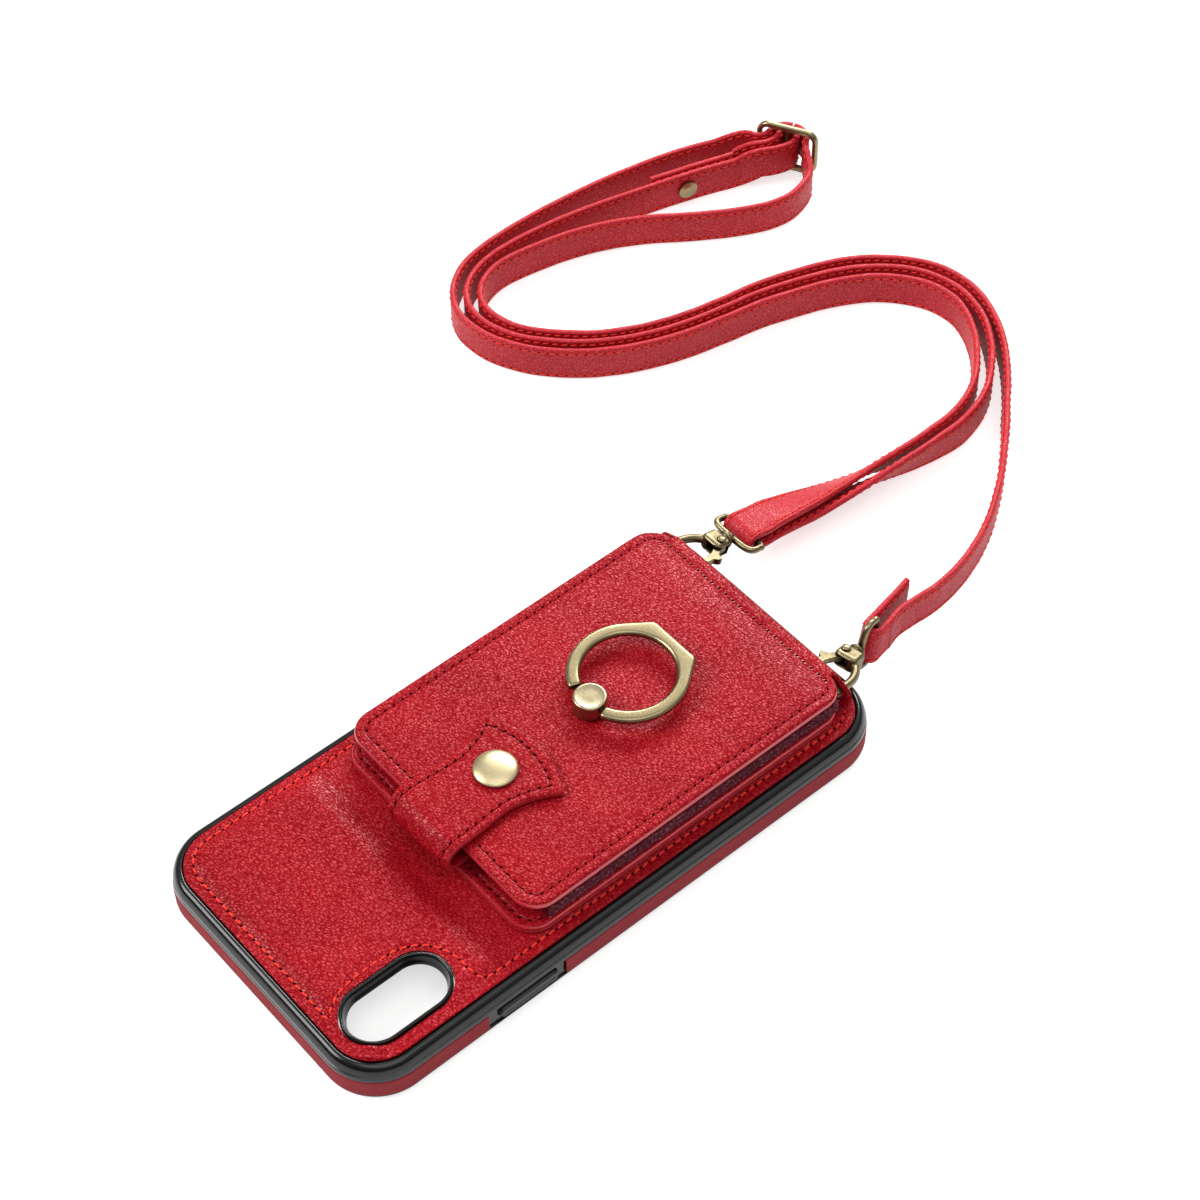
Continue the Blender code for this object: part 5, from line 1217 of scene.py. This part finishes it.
def spine_piece():
    """The rolled leather that joins base and cover behind the far edge."""
    profile = [(70.1, 12.3), (70.7, 13.0), (71.1, 14.2), (71.25, 15.8), (71.25, 17.6), (71.15, 19.2),
               (70.75, 20.1), (69.9, 20.5), (69.1, 20.5), (68.4, 20.2)]
    line = smooth_path([(0.0, *p) for p in profile], 6)
    lengths = distances(line)
    tangents = unit(np.gradient(line, axis=0))
    rings, rests = [], []
    for column in spaced(1.0, 0.12, 0.012, 0.024):
        outer, inner = [], []
        for point, tangent, run in zip(line, tangents, lengths):
            half = 33.5 - 5.2 * ease(point[2], 17.0, 20.3)
            x = column * half
            end = min(run, lengths[-1] - run)
            thick = 0.6 * math.sqrt(min(1.0, 0.12 + half * (1 - abs(column)) / 0.6))
            thick *= math.sqrt(min(1.0, 0.15 + end / 0.5))
            wave = 0.05 * noise.noise(Vector((x * 0.3, run * 0.5, 3.0)))
            stitch = 0.16 * math.exp(-((end - 1.5) / 0.35) ** 2)
            normal = np.cross((-1.0, 0, 0), tangent)
            outer.append(point + (x, 0, 0) + normal * (thick + wave - stitch))
            inner.append(point + (x, 0, 0) - normal * thick)
            rests.append((x, run, 40.0))
        rests += [(column * 33.5, run, 44.0) for run in lengths[::-1]]
        rings.append(outer + inner[::-1])
    piece = build("spine_leather", *loft(rings), RED, 50, rests)
    # the clasps' hooks go through these
    cut(piece, [build("cut_spine", *bar((side * (CLASP_PLACE[0] + u), 60, CLASP_PLACE[2]), (0, 1, 0),
                                        [(0.0, 1.75), (20.0, 1.75)], 28), RED)
                for side in (1, -1) for u in (-4.4, 5.0)], RED, 44)
    bend([piece], "wallet_spine")


# ---------------------------------------------------------------- closure tab and snap
TAB_LEATHER = 1.8
TAB_BOTTOM = 22.3
TAB_FLAT = TAB_BOTTOM + TAB_LEATHER / 2
TAB_ROW = 2.0
RIVET_FOOT = [(0.06, 20.2), (3.3, 20.2), (3.5, 20.3), (3.5, 20.7), (3.3, 20.8), (1.3, 20.8)]
SNAP = (0.0, -8.3)


def tab_half_width(along):
    waist = 9.6 + 1.2 * math.sin(math.pi * min(along / 0.75, 1.0))
    return waist + 5.2 * (max(along - 0.60, 0.0) / 0.40) ** 2.2


def tab_bow(along, side):
    """How far the tab's rounded end stands out, across from -1 to 1."""
    return 4.6 * max(along - 0.72, 0.0) / 0.28 * (1 - side * side)


def tab_piece():
    centre_line = [(-22.4, 15.9), (-25.4, 15.7), (-28.2, 16.0), (-30.0, 17.0), (-30.9, 18.8), (-30.6, 20.6),
                   (-29.3, 22.2)]
    centre_line += [(y, TAB_FLAT) for y in (-27.2, -24.0, -20.0, -16.0, -12.0, -9.0, -6.0, -3.0, -0.4)]
    dense = smooth_path([(0.0, y, z) for y, z in centre_line], 12)
    lengths = distances(dense)
    total = lengths[-1]
    runs = np.linspace(0, total, 130)
    line = at(dense, lengths, runs)
    normals = np.cross((1.0, 0, 0), unit(np.gradient(line, axis=0)))

    def place(run, side, off):
        """A point of the tab, and its normal: run along, side across, off above its middle layer."""
        spot, normal = at(line, runs, [run])[0], unit(at(normals, runs, [run]))[0]
        along = run / total
        return spot + (tab_half_width(along) * side, tab_bow(along, side), 0.0) + normal * off, normal

    rings, rests = [], []
    for run in runs:
        half = tab_half_width(run / total)
        upper, lower = [], []
        for side in np.sin(np.linspace(-math.pi / 2, math.pi / 2, 47)):
            edge = min(half * (1 - abs(side)), total - run, run + 3.0)
            round_off = 0.42 * (1 - math.sqrt(min(1.0, edge / 0.55)))
            dip = 0.2 * math.exp(-((edge - TAB_ROW) / 0.4) ** 2) if run > 6 else 0.0
            wave = 0.05 * noise.noise(Vector((half * side * 0.25, run * 0.25, 6.0)))
            upper.append((place(run, side, TAB_LEATHER / 2 - round_off - dip + wave)[0],
                          (half * side, run + tab_bow(run / total, side), 60.0)))
            lower.append((place(run, side, -TAB_LEATHER / 2 + round_off * 0.6)[0], (half * side, run, 66.0)))
        skin = upper + lower[::-1]
        rings.append([spot for spot, _ in skin])
        rests += [laid for _, laid in skin]
    tab = build("tab_leather", *loft(rings), RED, 50, rests)
    cut(tab, [build("cut_tab", *lathe([(3.7, 20.0), (3.7, 23.2)], SNAP, 48), RED)], RED, 44)
    paint_edges(tab, 0.72, True)

    def row_side(run):
        return 1 - TAB_ROW / tab_half_width(run / total)

    end = total - TAB_ROW
    path = [(run, -row_side(run)) for run in np.arange(9.0, end, 0.8)]
    path += [(end, side) for side in np.linspace(-row_side(end), row_side(end), 30)]
    path += [(run, row_side(run)) for run in np.arange(end, 9.0, -0.8)]
    spots, ups = np.array([place(run, side, TAB_LEATHER / 2 - 0.18) for run, side in path]).swapaxes(0, 1)
    keep = np.linalg.norm(np.diff(spots, axis=0, prepend=spots[:1] - 1), axis=1) > 0.15
    thread, holes = stitches(spots[keep], ups[keep], 1.75, 0.22, 0.5, (1.25, 0.62, 0.1), 0.3)
    bend([tab, build("tab_thread", *thread, THREAD, 60), build("tab_holes", *holes, HOLE_SHADE, 60)],
         "closure_tab")


def snap_pieces():
    top = TAB_BOTTOM + TAB_LEATHER
    cap = above(top, [(0.06, 0.22), (4.6, 0.22), (4.95, 0.24), (5.18, 0.34), (5.28, 0.52), (5.28, 0.68),
                      (5.2, 0.84), (5.05, 0.98), (4.7, 1.2), (4.2, 1.42), (3.6, 1.62), (2.9, 1.78),
                      (2.1, 1.9), (1.2, 1.97), (0.5, 2.0), (0.06, 2.0)])
    turned("snap_dome", cap, SNAP, 128, SNAP_BRASS_LIT, "tab", "snap_cap")
    low = 0.35 - TAB_LEATHER
    socket = above(top, [(2.5, low + 0.1), (2.6, low), (3.1, low), (3.3, low + 0.12), (3.4, low + 0.35),
                         (3.4, 0.0), (2.55, 0.0), (2.42, low + 0.8), (2.5, low + 0.5)])
    turned("snap_socket_ring", socket, SNAP, 72, BRASS, "tab", "snap_socket", loop=True)
    head = above(COVER_TOP + GAP, [(1.3, 0.02), (1.6, 0.0), (1.8, 0.12), (1.9, 0.4), (1.84, 0.65),
                                   (1.66, 0.9), (1.3, 1.1), (0.8, 1.18), (0.06, 1.2)])
    turned("snap_stud_head", RIVET_FOOT + head, SNAP, 72, BRASS, "cover", "snap_stud")


# ---------------------------------------------------------------- finger ring
POST = (-0.5, 20.2)
RING_CENTRE_Y = 31.9
RING_INNER, RING_OUTER, RING_FLAT_HALF = 11.25, 14.6, 7.2
RING_Z = 25.7


def ring_outer_radius(angle):
    off_axis = abs(angle - math.pi / 2)
    corner = math.atan2(RING_FLAT_HALF, RING_OUTER)
    if off_axis < corner:
        return RING_OUTER / math.cos(off_axis)
    reach = math.hypot(RING_FLAT_HALF, RING_OUTER)
    tangent = corner + math.acos(RING_OUTER / reach)
    if off_axis < tangent:
        return RING_OUTER / math.cos(tangent - off_axis)
    return RING_OUTER


def ring_pieces():
    end_angle = math.asin(5.0 / (RING_CENTRE_Y - POST[1] + 1.2))
    steps = 300
    rings = []
    for step in range(steps + 1):
        angle = -math.pi / 2 + end_angle + (math.tau - 2 * end_angle) * step / steps
        outer = np.mean([ring_outer_radius(angle + shift) for shift in (-0.035, -0.012, 0.012, 0.035)])
        section = [(RING_INNER, 0.0), (RING_INNER + 0.04, -0.34), (RING_INNER + 0.2, -0.62),
                   (RING_INNER + 0.52, -0.86), (RING_INNER + 0.75, -0.93), (outer - 0.7, -0.93),
                   (outer - 0.42, -0.86), (outer - 0.14, -0.62), (outer, -0.3), (outer, 0.3),
                   (outer - 0.14, 0.62), (outer - 0.42, 0.86), (outer - 0.7, 0.93), (outer - 1.1, 0.95),
                   (RING_INNER + 1.0, 0.95), (RING_INNER + 0.72, 0.93), (RING_INNER + 0.5, 0.84),
                   (RING_INNER + 0.2, 0.6), (RING_INNER + 0.04, 0.34)]
        end = min(step, steps - step)
        squeeze = (0.86, 0.95, 0.99, 1.0)[min(end, 3)]
        middle = (RING_INNER + outer) / 2
        rings.append([(POST[0] + (middle + (r - middle) * squeeze) * math.cos(angle),
                       RING_CENTRE_Y + (middle + (r - middle) * squeeze) * math.sin(angle),
                       RING_Z + z * squeeze) for r, z in section])
    ring = build("ring_band", *loft(rings), BRASS, 30)
    dress(ring, "ring", "brass", "finger_ring")
    pin = [(0.0, 0.4), (0.12, 0.58), (4.3, 0.6), (8.4, 0.58), (8.55, 0.4)]
    pin = bar((POST[0] - 4.28, POST[1], RING_Z), (1, 0, 0), pin, 32)
    dress(build("ring_pin", *pin, BRASS), "ring", "brass", "ring_hinge_pin")
    bottom = COVER_TOP + GAP
    post = [(0.06, 24.4), (1.6, 24.4), (1.6, bottom), (3.6, bottom), (3.88, bottom + 0.1),
            (4.02, bottom + 0.35), (4.05, 24.0), (4.05, 26.35), (4.03, 26.6), (3.94, 26.8), (3.78, 26.92),
            (3.55, 26.97), (3.3, 26.97), (3.18, 26.93), (3.06, 26.9), (1.5, 26.92), (0.06, 26.93)]
    body = build("ring_post_body", *lathe(post, POST, 128), BRASS_CAP)
    hole = bar((POST[0] - 6, POST[1], RING_Z), (1, 0, 0), [(0.0, 0.88), (12.0, 0.88)], 32)
    cut(body, [build("cut_post", *hole, BRASS)], BRASS_CAP, 30)
    relay(body)
    dress(body, "ring_post", "brass", "ring_post")
    rivet = RIVET_FOOT + [(1.3, 23.9), (1.2, 24.0), (0.06, 24.0)]
    turned("ring_rivet", rivet, POST, 48, BRASS, "cover", "ring_post_rivet")


# ---------------------------------------------------------------- clasps
PIVOT_U, PIVOT_V = -1.4, 10.6


def clasp_pieces(side):
    """Cast body with its hook, sprung gate, rivet and the bail that turns in the collar."""
    mirror = 1 if side == "right" else -1

    def flat(points, w=0.0):
        """Points in the clasp's own plane, w above its middle, mirrored on the left."""
        return [(mirror * u, v, w) for u, v in points]

    def pivot(name, profile, sides, material):
        return build(name, *bar((mirror * PIVOT_U, PIVOT_V, 0), (0, 0, 1), profile, sides), material)

    def place(obj, body, node):
        obj.data.transform(Matrix.Translation(CLASP[side].translation * MM) @ CLASP[side].to_3x3().to_4x4())
        dress(obj, body, "antique_brass", f"{node}_{side}")

    barrel = [(1.15, 7.95), (0.75, 8.1), (0.35, 8.4), (0.1, 8.8), (0.0, 9.3), (0.0, 12.0), (0.15, 12.35),
              (0.5, 12.7), (1.0, 12.95), (1.3, 13.0)]
    rings = [[(mirror * u, v, w) for u, w in rounded(3.2 - inset, 2.2 - 0.6 * inset, 1.1, 8)]
             for inset, v in barrel]
    body = build(f"clasp_cast_{side}", *loft(rings), ANTIQUE)
    mouth = ((-4.5, 7.0), (0.9, 7.0), (0.9, 12.6), (-4.5, 12.6))
    slot = build("cut_slot", *loft([flat(mouth, w) for w in (-1.25, 1.25)]), ANTIQUE)
    cut(body, [slot, pivot("cut_rivet", [(-4.0, 0.9), (4.0, 0.9)], 24, ANTIQUE)], ANTIQUE)
    hook_line = smooth_path(flat(((2.3, 9.4), (4.0, 7.2), (5.0, 4.2), (5.1, 1.0), (4.6, -1.7), (2.6, -3.4),
                                  (0.0, -3.8), (-2.6, -3.2), (-4.2, -1.4), (-4.4, 1.6))), 8)
    hook = build("hook", *sweep(hook_line, (0, 0, 1), circle(1.12, 24))[0], ANTIQUE)
    collar = [(12.6, 1.65), (12.95, 1.75), (13.15, 1.7), (13.3, 1.75), (13.42, 2.1), (13.6, 2.24),
              (13.95, 2.26), (14.2, 2.18), (14.4, 1.98), (14.46, 1.5), (14.46, 1.2)]
    cast(body, [hook, build("collar", *bar((0, 0, 0), (0, 1, 0), collar, 40), ANTIQUE)], 0.11, ANTIQUE)
    place(body, "case", "clasp_body")

    heads = [(-2.86, 0.3), (-2.86, 0.8), (-2.78, 1.05), (-2.6, 1.18), (-2.46, 1.18), (-2.46, 0.62),
             (2.46, 0.62), (2.46, 1.18), (2.6, 1.18), (2.78, 1.05), (2.86, 0.8), (2.78, 0.62), (2.72, 0.3)]
    place(pivot(f"clasp_pivot_{side}", heads, 32, BRASS), "case", "clasp_rivet")

    lever = [(-1.4, 12.2), (-0.35, 11.5), (-0.2, 10.6), (-0.5, 9.6), (-1.2, 8.7), (-2.2, 7.3), (-2.9, 5.9),
             (-3.35, 4.2), (-3.5, 2.65), (-5.1, 2.75), (-5.05, 4.0), (-5.0, 5.2), (-5.7, 5.9), (-6.0, 6.5),
             (-5.95, 7.1), (-5.6, 7.4), (-4.9, 7.45), (-4.2, 7.7), (-3.6, 8.6), (-3.0, 9.8), (-2.8, 11.3),
             (-2.2, 12.0)]
    gate = build(f"clasp_lever_{side}", *loft([flat(lever, w) for w in (-0.86, 0.86)]), ANTIQUE)
    cut(gate, [pivot("cut_gate", [(-3.0, 0.92), (3.0, 0.92)], 24, ANTIQUE)], ANTIQUE)
    cast(gate, [], 0.1, ANTIQUE)
    place(gate, f"gate_{side}", "clasp_gate")

    half = [(3.6, 16.0), (5.7, 16.5), (6.6, 17.7), (6.6, 19.4), (6.0, BAIL_V)]
    corners = [(0.0, 15.9)] + half + [(0.0, BAIL_V)] + [(-s, v) for s, v in reversed(half)]
    # the curve runs past its start, and one whole turn of it is kept
    ring = smooth_path([(s, v) for s, v in corners + corners[:3]], 10)[10:10 + 10 * len(corners)]
    if side == "left":
        path, up = [(s, v, 0.0) for s, v in ring], (0, 0, 1)
    else:
        path, up = [(0.0, v, s) for s, v in ring], (1, 0, 0)
    bail = build(f"clasp_ring_{side}", *sweep(path, up, circle(BAIL_WIRE, 24), True)[0], ANTIQUE)
    stem = [(12.25, 0.6), (12.4, 0.8), (14.9, 0.8), (15.1, 1.2), (15.5, 1.35), (15.9, 1.2), (16.2, 0.7)]
    cast(bail, [build("stem", *bar((0, 0, 0), (0, 1, 0), stem, 28), ANTIQUE)], 0.11, ANTIQUE)
    place(bail, f"bail_{side}", "clasp_bail")


bumper_piece()
button_pieces()
band_pieces()
panel_piece()
window_rim()
inner_layers()
base_piece()
cover_piece()
gusset_pieces()
leaf_pieces()
spine_piece()
tab_piece()
snap_pieces()
ring_pieces()
clasp_pieces("right")
clasp_pieces("left")
